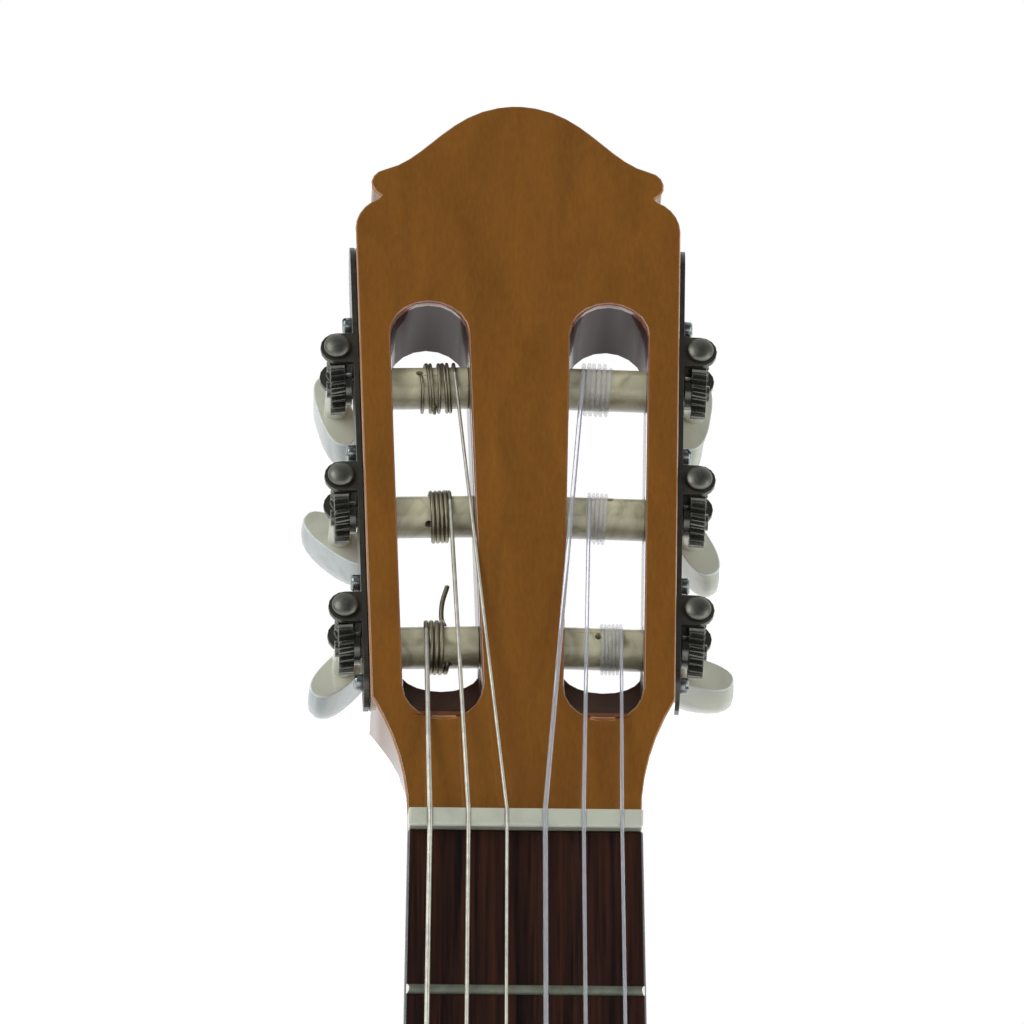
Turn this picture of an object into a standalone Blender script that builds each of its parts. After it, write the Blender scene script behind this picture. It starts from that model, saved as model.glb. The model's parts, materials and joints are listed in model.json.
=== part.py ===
"""Classical guitar, modelled piece by piece.

+Z runs up the neck to the head, -Y is the side of the strings and +X the treble side. The
origin is on the centre line where the nut meets the fingerboard, in the plane in which the
fingerboard is glued to the neck. That plane is also the soundboard's outer face.

The head has a frame of its own, tilted back from the nut: x across, y into the wood from the
head's face, z up the face. Each row of tuning machines has a frame on the head's side, turned
with the side's taper: x outward, y and z as in the head's frame. Lengths are in metres.
"""

import math

import bmesh
import bpy
from mathutils import Matrix, Vector

# ---------------------------------------------------------------- clearances
GLUE = 0.0001  # between pieces that are glued or screwed together
RUNNING = 0.0003  # around a piece that turns
BORE_FIT = 0.00035  # around a roller in the head's side wall
REACH = 0.004  # how far a cutter stands out of what it cuts
SUNK = 0.0001  # how deep one shape of a piece starts inside another

# ------------------------------------------------------ strings and fingerboard
SCALE = 0.650  # open string, nut to saddle
FRETS = 19
JOIN_FRET = 12  # where the neck meets the body
NUT_WIDTH = 0.052
JOIN_WIDTH = 0.062
BOARD_T = 0.0065
BOARD_TAIL = 0.005  # fingerboard beyond its last fret
FRET_WIDTH = 0.0022
FRET_HEIGHT = 0.001
FRET_TANG = 0.0004  # how deep a fret sits in the board
FRET_INSET = 0.0003  # fret end to the edge of the board
NUT_T = 0.005
NUT_HEIGHT = 0.0096
STRING_DIAMETERS = (0.0011, 0.0009, 0.00075, 0.0010, 0.0008, 0.0007)  # bass to treble
NUT_SPAN = 0.0424  # outer string to outer string
SADDLE_SPAN = 0.0585
SADDLE_HEIGHT = 0.0124  # crown of the saddle above the soundboard

# ------------------------------------------------------------------------ head
HEAD_ANGLE = math.radians(15)
HEAD_T = 0.021
HEAD_TOP = 0.1927
SHOULDER_R = 0.064
SHOULDER_TOP = 0.031
SIDE_TAPER = math.radians(1.58)
CHEEK_BASE = 0.158  # where the straight side starts to round in to the notch
CHEEK_R = 0.009
HORN_R = 0.0041
HORN_X = 0.0298
HORN_Z = 0.1705
CROWN_HANDLES = ((0.0205, 0.1773), (0.0155, HEAD_TOP))
SLOT_WIDTH = 0.0178
SLOT_TO_SIDE = 0.0161  # centre of the slot to the side of the head
SLOT_TOP = 0.1375
SLOT_FOOT = 0.0255  # where the string ramp starts on the face
RAMP_ANGLE = math.radians(33)
RAMP_RUN = 0.0116  # ramp length along the face

# ------------------------------------------------------------- tuning machines
ROLLER_FIRST = 0.050
ROLLER_PITCH = 0.035
ROLLERS = 3
ROLLER_DEPTH = 0.0105  # roller axis behind the head's face
ROLLER_R = 0.0048
STUB_R = 0.0030  # inner end of the roller, in the centre web
STUB_LENGTH = 0.0042
HUB_R = 0.0024  # outer end of the roller, through the plate
PLATE_T = 0.0012
PLATE_WIDTH = 0.0136
PLATE_FOOT = 0.0345
PLATE_TOP = 0.1580
EAR_T = 0.0012
EAR_R = 0.0039
SCREW_R = 0.0019
SCREW_HEIGHT = 0.0016
SCREW_ENDS = (0.0410, 0.1375)  # lowest and highest mounting screw, up the face
GEAR_TEETH = 18
GEAR_PITCH_R = 0.0052
GEAR_ADDENDUM = 0.00065
GEAR_DEDENDUM = 0.00075
GEAR_WIDTH = 0.0034
BOSS_R = 0.00375
BOSS_WIDTH = 0.0016
GEAR_SCREW_R = 0.0019
GEAR_SCREW_HEIGHT = 0.0008
WORM_PITCH_R = 0.0019
WORM_ADDENDUM = 0.00055
WORM_DEDENDUM = 0.0008
TOOTH_SHARE = 0.42  # tooth thickness as a share of the pitch
FLANK_ANGLE = math.radians(14.5)
WORM_TURNS = 3.6
COLLAR_R = 0.0025
COLLAR_T = 0.0012
SHAFT_R = 0.0014
CAP_R = 0.0028
CAP_HEIGHT = 0.0012
BUTTON_LENGTH = 0.0224
BUTTON_WIDTH = 0.0184
BUTTON_T = 0.0088
BUTTON_NECK_R = 0.0026
SHAFT_IN_BUTTON = 0.010
BUTTON_TURNS = {-1: (-46, 39, 70), 1: (12, 62, -76)}  # degrees, first to last machine

# How each string lies on its roller: distance in from the head's side at which it lands,
# the way its turns run (1 outward, -1 inward) and their number. Bass to treble.
WINDINGS = (
    (0.0131, -1, 3.5),
    (0.0196, 1, 4.7),
    (0.0218, 1, 10.0),
    (0.0217, 1, 5.8),
    (0.0199, 1, 5.0),
    (0.0121, -1, 6.0),
)

# ------------------------------------------------------------------------ neck
NECK_DEPTH = 0.0155  # wood behind the fingerboard, at the nut
NECK_DEPTH_JOIN = 0.0180
NECK_BEND = 0.014  # length of neck below the nut over which it turns into the head
HEAD_BACK_EDGE = 0.0008  # rounding of the head's back edges
HEEL_HALF_WIDTH = 0.0150
HEEL_LENGTH = 0.022
HEEL_SWEEP = 0.045
HEEL_CAP_T = 0.0025

# ------------------------------------------------------------------------ body
BODY_LENGTH = 0.487
UPPER_WIDTH = 0.280
WAIST_WIDTH = 0.236
LOWER_WIDTH = 0.368
UPPER_Z = 0.078  # below the top of the body
WAIST_Z = 0.184
LOWER_Z = 0.362
OUTLINE_STEPS = 11  # points on each curve of the outline
LOWER_BOUT_HANDLES = (0.52, 0.58)  # shares of each curve's width and run at which its handles lie
WAIST_HANDLES = (0.47, 0.34)
UPPER_BOUT_HANDLES = (0.38, 0.58)
SHOULDER_HANDLES = (0.62, 0.70)
BODY_DEPTH_NECK = 0.094  # overall, soundboard to back
BODY_DEPTH_TAIL = 0.100
TOP_T = 0.0026
BACK_T = 0.0028
SIDE_T = 0.0022
LINING_T = 0.006
LINING_HEIGHT = 0.014
NECK_BLOCK_HALF = 0.032
NECK_BLOCK_LENGTH = 0.040
TAIL_BLOCK_HALF = 0.030
TAIL_BLOCK_T = 0.014
HOLE_R = 0.0425
HOLE_DROP = 0.157  # soundhole centre below the top of the body
ROSETTE_INNER_R = 0.047
ROSETTE_OUTER_R = 0.060
ROSETTE_T = 0.0008
BAR_WIDTH = 0.008
BAR_HEIGHT = 0.015
BAR_TO_HOLE = 0.010
FAN_BRACES = 5
FAN_WIDTH = 0.006
FAN_HEIGHT = 0.0065
FAN_TOP_PITCH = 0.018
FAN_FOOT_PITCH = 0.042
FAN_TO_BAR = 0.004  # top ends of the fan braces to the lower bar
FAN_TO_TAIL = 0.0505  # their feet to the end of the body
BACK_BARS = (0.090, 0.215, 0.345)  # below the top of the body
BRIDGE_LENGTH = 0.190
BRIDGE_WIDTH = 0.028
BRIDGE_HEIGHT = 0.0092
BRIDGE_WING = 0.0040
BRIDGE_BLOCK = 0.084
BRIDGE_FRONT = 0.008  # front edge to the saddle's centre
SADDLE_LENGTH = 0.080
SADDLE_T = 0.0025
SADDLE_DEPTH = 0.0045  # how deep the saddle sits in the bridge
CHANNEL_WIDTH = 0.006  # between the saddle's ledge and the tie block
TIE_WIDTH = 0.010
TIE_HOLE_R = 0.0009
TIE_HOLE_HEIGHT = 0.0058

# -------------------------------------------------------------- derived places
JOIN = SCALE * (1 - 2 ** (-JOIN_FRET / 12))
BODY_TOP = -JOIN
BODY_END = BODY_TOP - BODY_LENGTH
BOARD_END = -SCALE * (1 - 2 ** (-FRETS / 12)) - BOARD_TAIL
HOLE_Z = BODY_TOP - HOLE_DROP
SIDE_AT_REST = NUT_WIDTH / 2 + SHOULDER_R - math.sqrt(SHOULDER_R**2 - SHOULDER_TOP**2)
GEAR_TIP_R = GEAR_PITCH_R + GEAR_ADDENDUM
WORM_LEAD = 2 * math.pi * GEAR_PITCH_R / GEAR_TEETH
WORM_ABOVE = GEAR_PITCH_R + WORM_PITCH_R  # worm axis above the roller axis
PLATE_OUT = GLUE + PLATE_T  # outer face of the plate
GEAR_IN = PLATE_OUT + RUNNING + BOSS_WIDTH
WORM_OUT = GEAR_IN + GEAR_WIDTH / 2  # worm axis out from the head's side
EAR_GAP = PLATE_WIDTH - 2 * EAR_T  # between the two ears of one machine
WINDING_R = ROLLER_R + RUNNING  # inside of the string's turns


def head_matrix():
    """Frame of the head: the nut's back edge, tilted back."""
    return Matrix.Translation((0, 0, NUT_T)) @ Matrix.Rotation(-HEAD_ANGLE, 4, "X")


def side_half_width(z):
    """Half the head's width along its straight sides."""
    return SIDE_AT_REST + math.tan(SIDE_TAPER) * (z - SHOULDER_TOP)


def side_matrix(side):
    """Frame of a row of machines, relative to the head: on the side, at the foot of the face."""
    place = Matrix.Translation((side * side_half_width(0), 0, 0))
    return place @ Matrix.Rotation(side * SIDE_TAPER, 4, "Y")


# ------------------------------------------------------------------ modelling aids
def clear_scene():
    for old in list(bpy.data.objects):
        bpy.data.objects.remove(old, do_unlink=True)


def make_collection(name):
    collection = bpy.data.collections.get(name) or bpy.data.collections.new(name)
    if name not in bpy.context.scene.collection.children:
        bpy.context.scene.collection.children.link(collection)
    return collection


def material(name, color, roughness, metallic=0.0):
    found = bpy.data.materials.get(name)
    if found:
        return found
    made = bpy.data.materials.new(name)
    made.use_nodes = True
    made.diffuse_color = (*color, 1)
    shader = made.node_tree.nodes["Principled BSDF"]
    shader.inputs["Base Color"].default_value = (*color, 1)
    shader.inputs["Roughness"].default_value = roughness
    shader.inputs["Metallic"].default_value = metallic
    return made


def cedar_wood():
    return material("cedar", (0.18, 0.075, 0.02), 0.25)


def spruce_wood():
    return material("spruce", (0.72, 0.48, 0.22), 0.3)


def rosewood():
    return material("rosewood", (0.06, 0.02, 0.012), 0.35)


def bone():
    return material("bone", (0.80, 0.76, 0.62), 0.35)


def black_metal():
    return material("black_metal", (0.03, 0.032, 0.03), 0.3, 1.0)


def steel():
    return material("steel", (0.55, 0.55, 0.55), 0.25, 1.0)


def cream_plastic():
    return material("cream_plastic", (0.55, 0.55, 0.45), 0.3)


def pearl_plastic():
    return material("pearl_plastic", (0.75, 0.77, 0.74), 0.2)


def wound_string():
    return material("wound_string", (0.60, 0.58, 0.50), 0.35, 1.0)


def nylon_string():
    return material("nylon_string", (0.62, 0.60, 0.62), 0.2)


def add(name, mesh, paint, parent=None, matrix=None):
    """Put a mesh in the guitar's collection as a named piece."""
    piece = bpy.data.objects.new(name, mesh)
    make_collection("classical_guitar").objects.link(piece)
    if paint:
        mesh.materials.append(paint)
    piece.parent = parent
    if matrix:
        piece.matrix_local = matrix
    return piece


def as_cutter(piece):
    """Move a piece to the cutters, which only shape other pieces."""
    make_collection("classical_guitar").objects.unlink(piece)
    make_collection("cutters").objects.link(piece)
    piece.hide_render = True
    piece.display_type = "WIRE"
    return piece


def combine(piece, other, operation):
    step = piece.modifiers.new(other.name, "BOOLEAN")
    step.operation = operation
    step.solver = "EXACT"
    step.object = as_cutter(other)


def cut(piece, cutter):
    combine(piece, cutter, "DIFFERENCE")


def join(piece, other):
    combine(piece, other, "UNION")


def finish_mesh(shape, name):
    """Turn a bmesh into a mesh whose faces point out."""
    bmesh.ops.recalc_face_normals(shape, faces=shape.faces)
    mesh = bpy.data.meshes.new(name)
    shape.to_mesh(mesh)
    shape.free()
    return mesh


def smooth(mesh, degrees=35):
    mesh.shade_smooth()
    mesh.set_sharp_from_angle(angle=math.radians(degrees))
    return mesh


def box(name, low, high, paint, parent=None, matrix=None):
    shape = bmesh.new()
    bmesh.ops.create_cube(shape, size=1)
    low, high = Vector(low), Vector(high)
    size = Matrix.Diagonal((*(high - low), 1))
    bmesh.ops.transform(shape, matrix=Matrix.Translation((low + high) / 2) @ size, verts=shape.verts)
    return add(name, finish_mesh(shape, name), paint, parent, matrix)


def cylinders(name, places, radius, length, segments, paint=None, parent=None):
    """Closed cylinders in one mesh, each centred on its matrix and along its local Z."""
    shape = bmesh.new()
    for place in places:
        bmesh.ops.create_cone(
            shape,
            cap_ends=True,
            segments=segments,
            radius1=radius,
            radius2=radius,
            depth=length,
            matrix=place,
        )
    return add(name, smooth(finish_mesh(shape, name)), paint, parent)


def turned(name, profile, steps, paint, parent=None, matrix=None):
    """Turn a profile of (radius, height) points, listed from its top to its foot, about Z."""
    mesh = bpy.data.meshes.new(name)
    points = [(radius, 0, height) for radius, height in profile]
    mesh.from_pydata(points, [(i, i + 1) for i in range(len(points) - 1)], [])
    piece = add(name, mesh, paint, parent, matrix)
    screw = piece.modifiers.new("turn", "SCREW")
    screw.steps = steps
    screw.render_steps = steps
    screw.use_merge_vertices = True
    screw.merge_threshold = 0.00001
    return piece


def mesh_of_curve(curve, name):
    """Evaluate a curve object, weld its caps and remove it."""
    depsgraph = bpy.context.evaluated_depsgraph_get()
    mesh = bpy.data.meshes.new_from_object(curve.evaluated_get(depsgraph))
    mesh.name = name
    mesh.transform(curve.matrix_world)
    bpy.data.objects.remove(curve, do_unlink=True)
    shape = bmesh.new()
    shape.from_mesh(mesh)
    bmesh.ops.remove_doubles(shape, verts=shape.verts, dist=0.000001)
    bmesh.ops.recalc_face_normals(shape, faces=shape.faces)
    shape.to_mesh(mesh)
    shape.free()
    return mesh


def curve_object(name, loops, cyclic):
    data = bpy.data.curves.new(name, "CURVE")
    for loop in loops:
        spline = data.splines.new("POLY")
        spline.points.add(len(loop) - 1)
        for point, place in zip(spline.points, loop):
            point.co = (*place, 1)
        spline.use_cyclic_u = cyclic
    curve = bpy.data.objects.new(name, data)
    bpy.context.scene.collection.objects.link(curve)
    return curve


def flat(name, loops, low, high, paint, turn=None, parent=None):
    """Fill flat outlines and extrude them from low to high.

    Outlines are in XY and rise along Z; turn then lays the plate in its plane.
    """
    curve = curve_object(name, [[(x, y, 0) for x, y in loop] for loop in loops], True)
    curve.data.dimensions = "2D"
    curve.data.fill_mode = "BOTH"
    curve.data.extrude = (high - low) / 2
    curve.matrix_world = (turn or Matrix()) @ Matrix.Translation((0, 0, (low + high) / 2))
    bpy.context.view_layer.update()
    return add(name, mesh_of_curve(curve, name), paint, parent)


def tube(name, points, radius, paint, parent=None):
    curve = curve_object(name, [points], False)
    curve.data.dimensions = "3D"
    curve.data.bevel_depth = radius
    curve.data.bevel_resolution = 2
    curve.data.use_fill_caps = True
    bpy.context.view_layer.update()
    return add(name, smooth(mesh_of_curve(curve, name)), paint, parent)


def loft(name, rings, paint, parent=None):
    """Skin closed rings of equal point counts and cap both ends."""
    shape = bmesh.new()
    skins = [[shape.verts.new(point) for point in ring] for ring in rings]
    for lower, upper in zip(skins, skins[1:]):
        for i in range(len(lower)):
            j = (i + 1) % len(lower)
            shape.faces.new((lower[i], lower[j], upper[j], upper[i]))
    shape.faces.new(skins[0])
    shape.faces.new(skins[-1])
    return add(name, smooth(finish_mesh(shape, name)), paint, parent)


def arc(centre, radius, start, end, steps):
    """Points of a circular arc; angles in degrees."""
    angles = [math.radians(start + (end - start) * i / steps) for i in range(steps + 1)]
    return [(centre[0] + radius * math.cos(a), centre[1] + radius * math.sin(a)) for a in angles]


def circle(centre, radius, steps):
    return arc(centre, radius, 0, 360, steps)[:-1]


def bezier(p0, p1, p2, p3, steps):
    points = []
    for i in range(steps + 1):
        t = i / steps
        weights = ((1 - t) ** 3, 3 * t * (1 - t) ** 2, 3 * t * t * (1 - t), t**3)
        points.append(tuple(sum(w * p[k] for w, p in zip(weights, (p0, p1, p2, p3))) for k in (0, 1)))
    return points


def lerp(a, b, t):
    return a + (b - a) * t


def ease(t):
    """Smooth step from 0 to 1."""
    t = min(max(t, 0), 1)
    return t * t * (3 - 2 * t)


# Turns that lay a flat plate's XY outline in a plane of the frame it is used in.
UPRIGHT = Matrix.Rotation(math.radians(90), 4, "X")  # outline in x and z, rising towards -y
EDGEWISE = Matrix(((0, 0, 1, 0), (1, 0, 0, 0), (0, 1, 0, 0), (0, 0, 0, 1)))  # y and z, rising in x
ALONG_X = Matrix.Rotation(math.radians(90), 4, "Y")
ALONG_Y = Matrix.Rotation(math.radians(-90), 4, "X")


def wood_plate(name, loops, front, back, paint):
    """An upright plate between two depths, each a number or a function of height."""
    piece = flat(name, loops, 0, 1, paint, UPRIGHT)
    for vertex in piece.data.vertices:
        side = back if vertex.co.y > -0.5 else front
        vertex.co.y = side(vertex.co.z) if callable(side) else side
    shape = bmesh.new()
    shape.from_mesh(piece.data)
    bmesh.ops.recalc_face_normals(shape, faces=shape.faces)
    shape.to_mesh(piece.data)
    shape.free()
    return piece


# ------------------------------------------------------------------------- neck
def neck_half_width(z):
    """Half the neck's width, which is also the fingerboard's."""
    return lerp(NUT_WIDTH, JOIN_WIDTH, -z / JOIN) / 2


def neck_depth(z):
    return lerp(NECK_DEPTH, NECK_DEPTH_JOIN, -z / JOIN)


def neck_section(half_width, depth, round_x, round_y, steps=5):
    """A flat front edge and a back with rounded corners, as (x, depth) points."""
    left = []
    for i in range(steps + 1):
        a = math.radians(90 * i / steps)
        x = -half_width + round_x * (1 - math.cos(a))
        left.append((x, depth - round_y * (1 - math.sin(a))))
    right = [(-x, y) for x, y in reversed(left)]
    return [(-half_width, 0)] + left + right + [(half_width, 0)]


def head_outline():
    """Half outline of the head, from the nut to the crown, as (half width, height) points."""
    shoulder_angle = math.degrees(math.asin(SHOULDER_TOP / SHOULDER_R))
    shoulder = arc((NUT_WIDTH / 2 + SHOULDER_R, 0), SHOULDER_R, 180, 180 - shoulder_angle, 6)
    side = [(side_half_width(z), z) for z in (SHOULDER_TOP + 0.007, SHOULDER_TOP + 0.014)]
    cheek_x = side_half_width(CHEEK_BASE) - CHEEK_R
    cheek = arc((cheek_x, CHEEK_BASE), CHEEK_R, 0, 66, 5)
    horn = arc((HORN_X, HORN_Z), HORN_R, -62, 78, 6)
    crown = bezier(horn[-1], *CROWN_HANDLES, (0, HEAD_TOP), 10)
    return shoulder + side + cheek + horn + crown[1:-1] + [(0.0012, HEAD_TOP)]


def neck_rings():
    """Sections of the neck from the body join to the crown of the head."""
    rings = []
    edge, bend = HEAD_BACK_EDGE, NECK_BEND
    for i in range(9):
        z = lerp(-JOIN + GLUE, -bend - 0.012, i / 8)
        half, depth = neck_half_width(z), neck_depth(z)
        rings.append([(x, y, z) for x, y in neck_section(half, depth, half * 0.97, depth * 0.92)])
    for i in range(5):
        t = i / 4
        z = lerp(-bend, NUT_T, t)
        tilt = HEAD_ANGLE * t
        half = neck_half_width(min(z, 0))
        depth = lerp(neck_depth(-bend) + 0.001, HEAD_T - 0.0004, ease(t) * 0.4 + 0.6 * t * t)
        section = neck_section(half, depth, half * lerp(0.97, 0.9, t), depth * lerp(0.92, 0.84, t))
        cosine, sine = math.cos(tilt), math.sin(tilt)
        rings.append([(x, y * cosine, z - y * sine) for x, y in section])
    frame = head_matrix()
    blend_top = SHOULDER_TOP + 0.014
    for half, z in head_outline()[1:]:
        t = ease(z / blend_top)
        round_x = lerp(half * 0.9, edge, t) if half > 2 * edge else half * 0.5
        section = neck_section(half, HEAD_T, round_x, lerp(HEAD_T * 0.84, edge, t))
        rings.append([tuple(frame @ Vector((x, y, z))) for x, y in section])
    return rings


def heel_rings():
    """Sections of the heel, from inside the neck to its cap."""
    start = NECK_DEPTH_JOIN * 0.4
    rings = []
    for i in range(9):
        t = i / 8
        y = lerp(start, body_back(BODY_TOP) - HEEL_CAP_T - GLUE, t)
        half = lerp(JOIN_WIDTH / 2 * 0.86, HEEL_HALF_WIDTH, t**0.8)
        length = HEEL_LENGTH + HEEL_SWEEP * (1 - t) ** 2.4
        section = neck_section(half, length, half * 0.97, length * 0.9)
        rings.append([(x, y, BODY_TOP + GLUE + z) for x, z in section])
    return rings


def slot_centre(z):
    """Centre of a slot across the head, measured from the centre line."""
    return side_half_width(z) - SLOT_TO_SIDE / math.cos(SIDE_TAPER)


def slot_outline(side, foot, top):
    """A slot's outline in the head's x and z, with round ends, leaning with the side."""
    radius = SLOT_WIDTH / 2
    lean = math.degrees(SIDE_TAPER) * -side
    upper = (side * slot_centre(top - radius), top - radius)
    lower = (side * slot_centre(foot + radius), foot + radius)
    return arc(upper, radius, lean, lean + 180, 10) + arc(lower, radius, lean + 180, lean + 360, 10)


def slot_cutters(parent):
    """Two slots right through the head and the ramps on which the strings come in."""
    through = [slot_outline(side, SLOT_FOOT + RAMP_RUN, SLOT_TOP) for side in (-1, 1)]
    slots = flat("slots", through, -HEAD_T - REACH, REACH, None, UPRIGHT, parent)
    ramp_top = SLOT_FOOT + RAMP_RUN + SLOT_WIDTH
    sloped = [slot_outline(side, SLOT_FOOT, ramp_top) for side in (-1, 1)]
    ramps = flat("ramps", sloped, -HEAD_T, REACH, None, UPRIGHT, parent)
    for vertex in ramps.data.vertices:
        if vertex.co.y > HEAD_T / 2:
            vertex.co.y = (vertex.co.z - SLOT_FOOT) * math.tan(RAMP_ANGLE)
    return slots, ramps


def roller_places(out):
    """Places along the rollers' axes in the side frame, at a distance out from the head's side."""
    places = []
    for i in range(ROLLERS):
        places.append(Vector((out, ROLLER_DEPTH, roller_height(i))))
    return places


def roller_height(i):
    """Height of a roller axis in the side frame."""
    return (ROLLER_FIRST + ROLLER_PITCH * i) / math.cos(SIDE_TAPER)


def web_face():
    """Inner wall of a slot, measured out from the head's side (negative is inside)."""
    return -SLOT_TO_SIDE - SLOT_WIDTH / 2


def roller_bores(side, parent):
    """Bores through the side wall for the rollers, and blind ones in the centre web."""
    across = ROLLER_R + BORE_FIT
    wall = SLOT_TO_SIDE - SLOT_WIDTH / 2
    outer = [Matrix.Translation((side * p.x, p.y, p.z)) @ ALONG_X for p in roller_places(-wall / 2)]
    inner_x = web_face() - STUB_LENGTH / 2
    inner = [Matrix.Translation((side * p.x, p.y, p.z)) @ ALONG_X for p in roller_places(inner_x)]
    name = row_name(side)
    wide = cylinders("bores_" + name, outer, across, wall + REACH, 20, None, parent)
    deep = STUB_LENGTH + 2 * RUNNING + REACH / 2
    narrow = cylinders("sockets_" + name, inner, STUB_R + RUNNING, deep, 14, None, parent)
    return wide, narrow


def make_neck(head, rows):
    neck = loft("neck", neck_rings(), cedar_wood())
    join(neck, loft("heel_shape", heel_rings(), None))
    for cutter in slot_cutters(head):
        cut(neck, cutter)
    for side, row in rows.items():
        for cutter in roller_bores(side, row):
            cut(neck, cutter)


# -------------------------------------------------------- fingerboard, nut, strings
def fret_z(number):
    return -SCALE * (1 - 2 ** (-number / 12))


def make_fingerboard():
    corners = ((-1, 0), (1, 0), (1, BOARD_END), (-1, BOARD_END))
    outline = [(side * neck_half_width(z), z) for side, z in corners]
    board = wood_plate("fingerboard", [outline], -BOARD_T, -GLUE, rosewood())
    low, high = -BOARD_T + FRET_TANG, -BOARD_T - FRET_HEIGHT
    shape = bmesh.new()
    for number in range(1, FRETS + 1):
        z = fret_z(number)
        half = neck_half_width(z) - FRET_INSET
        fret = bmesh.ops.create_cone(shape, cap_ends=True, segments=4, radius1=0.5**0.5, radius2=0.3, depth=1)
        size = Matrix.Diagonal((2 * half, FRET_WIDTH, low - high, 1))
        lay = Matrix.Translation((0, (low + high) / 2, z)) @ Matrix.Rotation(math.radians(90), 4, "X")
        turn = Matrix.Rotation(math.radians(45), 4, "Z")
        bmesh.ops.transform(shape, matrix=lay @ size @ turn, verts=fret["verts"])
    join(board, add("frets", finish_mesh(shape, "frets"), None))


def string_share(index, span):
    """Where a string crosses a line, from the centre."""
    return span * (index / (len(STRING_DIAMETERS) - 1) - 0.5)


def string_side(index):
    return -1 if index < ROLLERS else 1


def string_machine(index):
    """Which machine of its row a string goes to, counted up from the nut."""
    return index if index < ROLLERS else len(STRING_DIAMETERS) - 1 - index


def winding_radius(index):
    """Radius of the string's centre line round its roller."""
    return WINDING_R + STRING_DIAMETERS[index] / 2


def nut_exit(index):
    """Where the string leaves the nut for the head."""
    return Vector((string_share(index, NUT_SPAN), -NUT_HEIGHT, NUT_T * 0.8))


def landing(index, side_to_world):
    """Where a string touches its roller, in world coordinates."""
    out, _, _ = WINDINGS[index]
    side = string_side(index)
    local = side_to_world.inverted() @ nut_exit(index)
    axis = Vector((ROLLER_DEPTH, roller_height(string_machine(index))))
    start = Vector((local.y, local.z))
    reach = (axis - start).length
    radius = winding_radius(index)
    slope = math.atan2(axis.x - start.x, axis.y - start.y) - math.asin(radius / reach)
    run = math.sqrt(reach**2 - radius**2)
    point = (-side * out, start.x + run * math.sin(slope), start.y + run * math.cos(slope))
    return side_to_world @ Vector(point)


def string_route(index, side_to_world):
    """Centre line of a string from its tie at the bridge to its roller."""
    radius = STRING_DIAMETERS[index] / 2
    saddle_x, nut_x = string_share(index, SADDLE_SPAN), string_share(index, NUT_SPAN)
    tie_back = -SCALE + BRIDGE_FRONT - BRIDGE_WIDTH
    tie_front = tie_back + TIE_WIDTH
    turn = radius * 1.1 + GLUE  # round the top edge of the tie block
    over_saddle = SADDLE_HEIGHT + radius + GLUE
    tie = [(BRIDGE_HEIGHT + turn, tie_front - TIE_WIDTH * 0.1)]
    for a in (0, math.pi / 4, math.pi / 2):
        tie.append((BRIDGE_HEIGHT + turn * math.cos(a), tie_back - turn * math.sin(a)))
    tie += [(TIE_HOLE_HEIGHT, tie_back - turn), (TIE_HOLE_HEIGHT, tie_front)]
    tie += [(over_saddle, -SCALE - SADDLE_T / 2), (over_saddle, -SCALE)]
    route = [Vector((saddle_x, -height, z)) for height, z in tie]
    route.append(Vector((nut_x, -NUT_HEIGHT - GLUE, NUT_T * 0.1)))
    return route + [nut_exit(index), landing(index, side_to_world)]


def make_nut(side_to_world):
    half = NUT_WIDTH / 2 - GLUE
    nut = box("nut", (-half, -NUT_HEIGHT, GLUE), (half, -GLUE, NUT_T), bone())
    bevel = nut.modifiers.new("rounding", "BEVEL")
    bevel.width = 0.0008
    bevel.segments = 2
    for index, diameter in enumerate(STRING_DIAMETERS):
        route = string_route(index, side_to_world[string_side(index)])[-4:]
        before = route[1].lerp(route[0], 0.02)
        after = route[2].lerp(route[3], 0.2)
        groove = [before, route[1], route[2], after]
        cut(nut, tube(f"groove_{6 - index}", groove, diameter / 2 + 1.5 * GLUE, None))


def make_strings(rows, side_to_world):
    for index, diameter in enumerate(STRING_DIAMETERS):
        paint = wound_string() if index < ROLLERS else nylon_string()
        side = string_side(index)
        route = string_route(index, side_to_world[side])
        string = tube(f"string_{6 - index}", route, diameter / 2, paint)
        out, way, turns = WINDINGS[index]
        start = -out - way * diameter / 2
        end = start + way * turns * diameter
        outline = [circle((0, 0), WINDING_R + extra, 18) for extra in (0, diameter)]
        coil = flat(f"coil_{6 - index}", outline, min(start, end), max(start, end), None, EDGEWISE)
        coil.data.transform(Matrix.Scale(side, 4, (1, 0, 0)))
        if side < 0:
            coil.data.flip_normals()
        coil.parent = rows[side]
        coil.location = (0, ROLLER_DEPTH, roller_height(string_machine(index)))
        join(string, coil)


# -------------------------------------------------------------- tuning machines
def row_name(side):
    return "bass" if side < 0 else "treble"


def machine_name(side, i):
    """Machines are named for their string, 6 on the bass side to 1 on the treble side."""
    return str(6 - i) if side < 0 else str(1 + i)


def plate_outline():
    """The plate's outline in the side frame's y and z, with round ends."""
    low, high = ROLLER_DEPTH - PLATE_WIDTH / 2, ROLLER_DEPTH + PLATE_WIDTH / 2
    corner = PLATE_WIDTH / 2 - GLUE
    foot, top = PLATE_FOOT, PLATE_TOP
    return (
        arc((high - corner, foot + corner), corner, -90, 0, 4)
        + arc((high - corner, top - corner), corner, 0, 90, 4)
        + arc((low + corner, top - corner), corner, 90, 180, 4)
        + arc((low + corner, foot + corner), corner, 180, 270, 4)
    )


def ear_outline(side, centre):
    """An ear of the plate in the side frame's x and z, with a hole for the worm's shaft."""
    root = GLUE + PLATE_T / 2
    outer = arc((WORM_OUT, centre), EAR_R, -90, 90, 8)
    outline = [(root, centre - EAR_R)] + outer + [(root, centre + EAR_R)]
    hole = circle((WORM_OUT, centre), SHAFT_R + RUNNING, 12)
    return [[(side * x, z) for x, z in loop] for loop in (outline, hole)]


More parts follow.
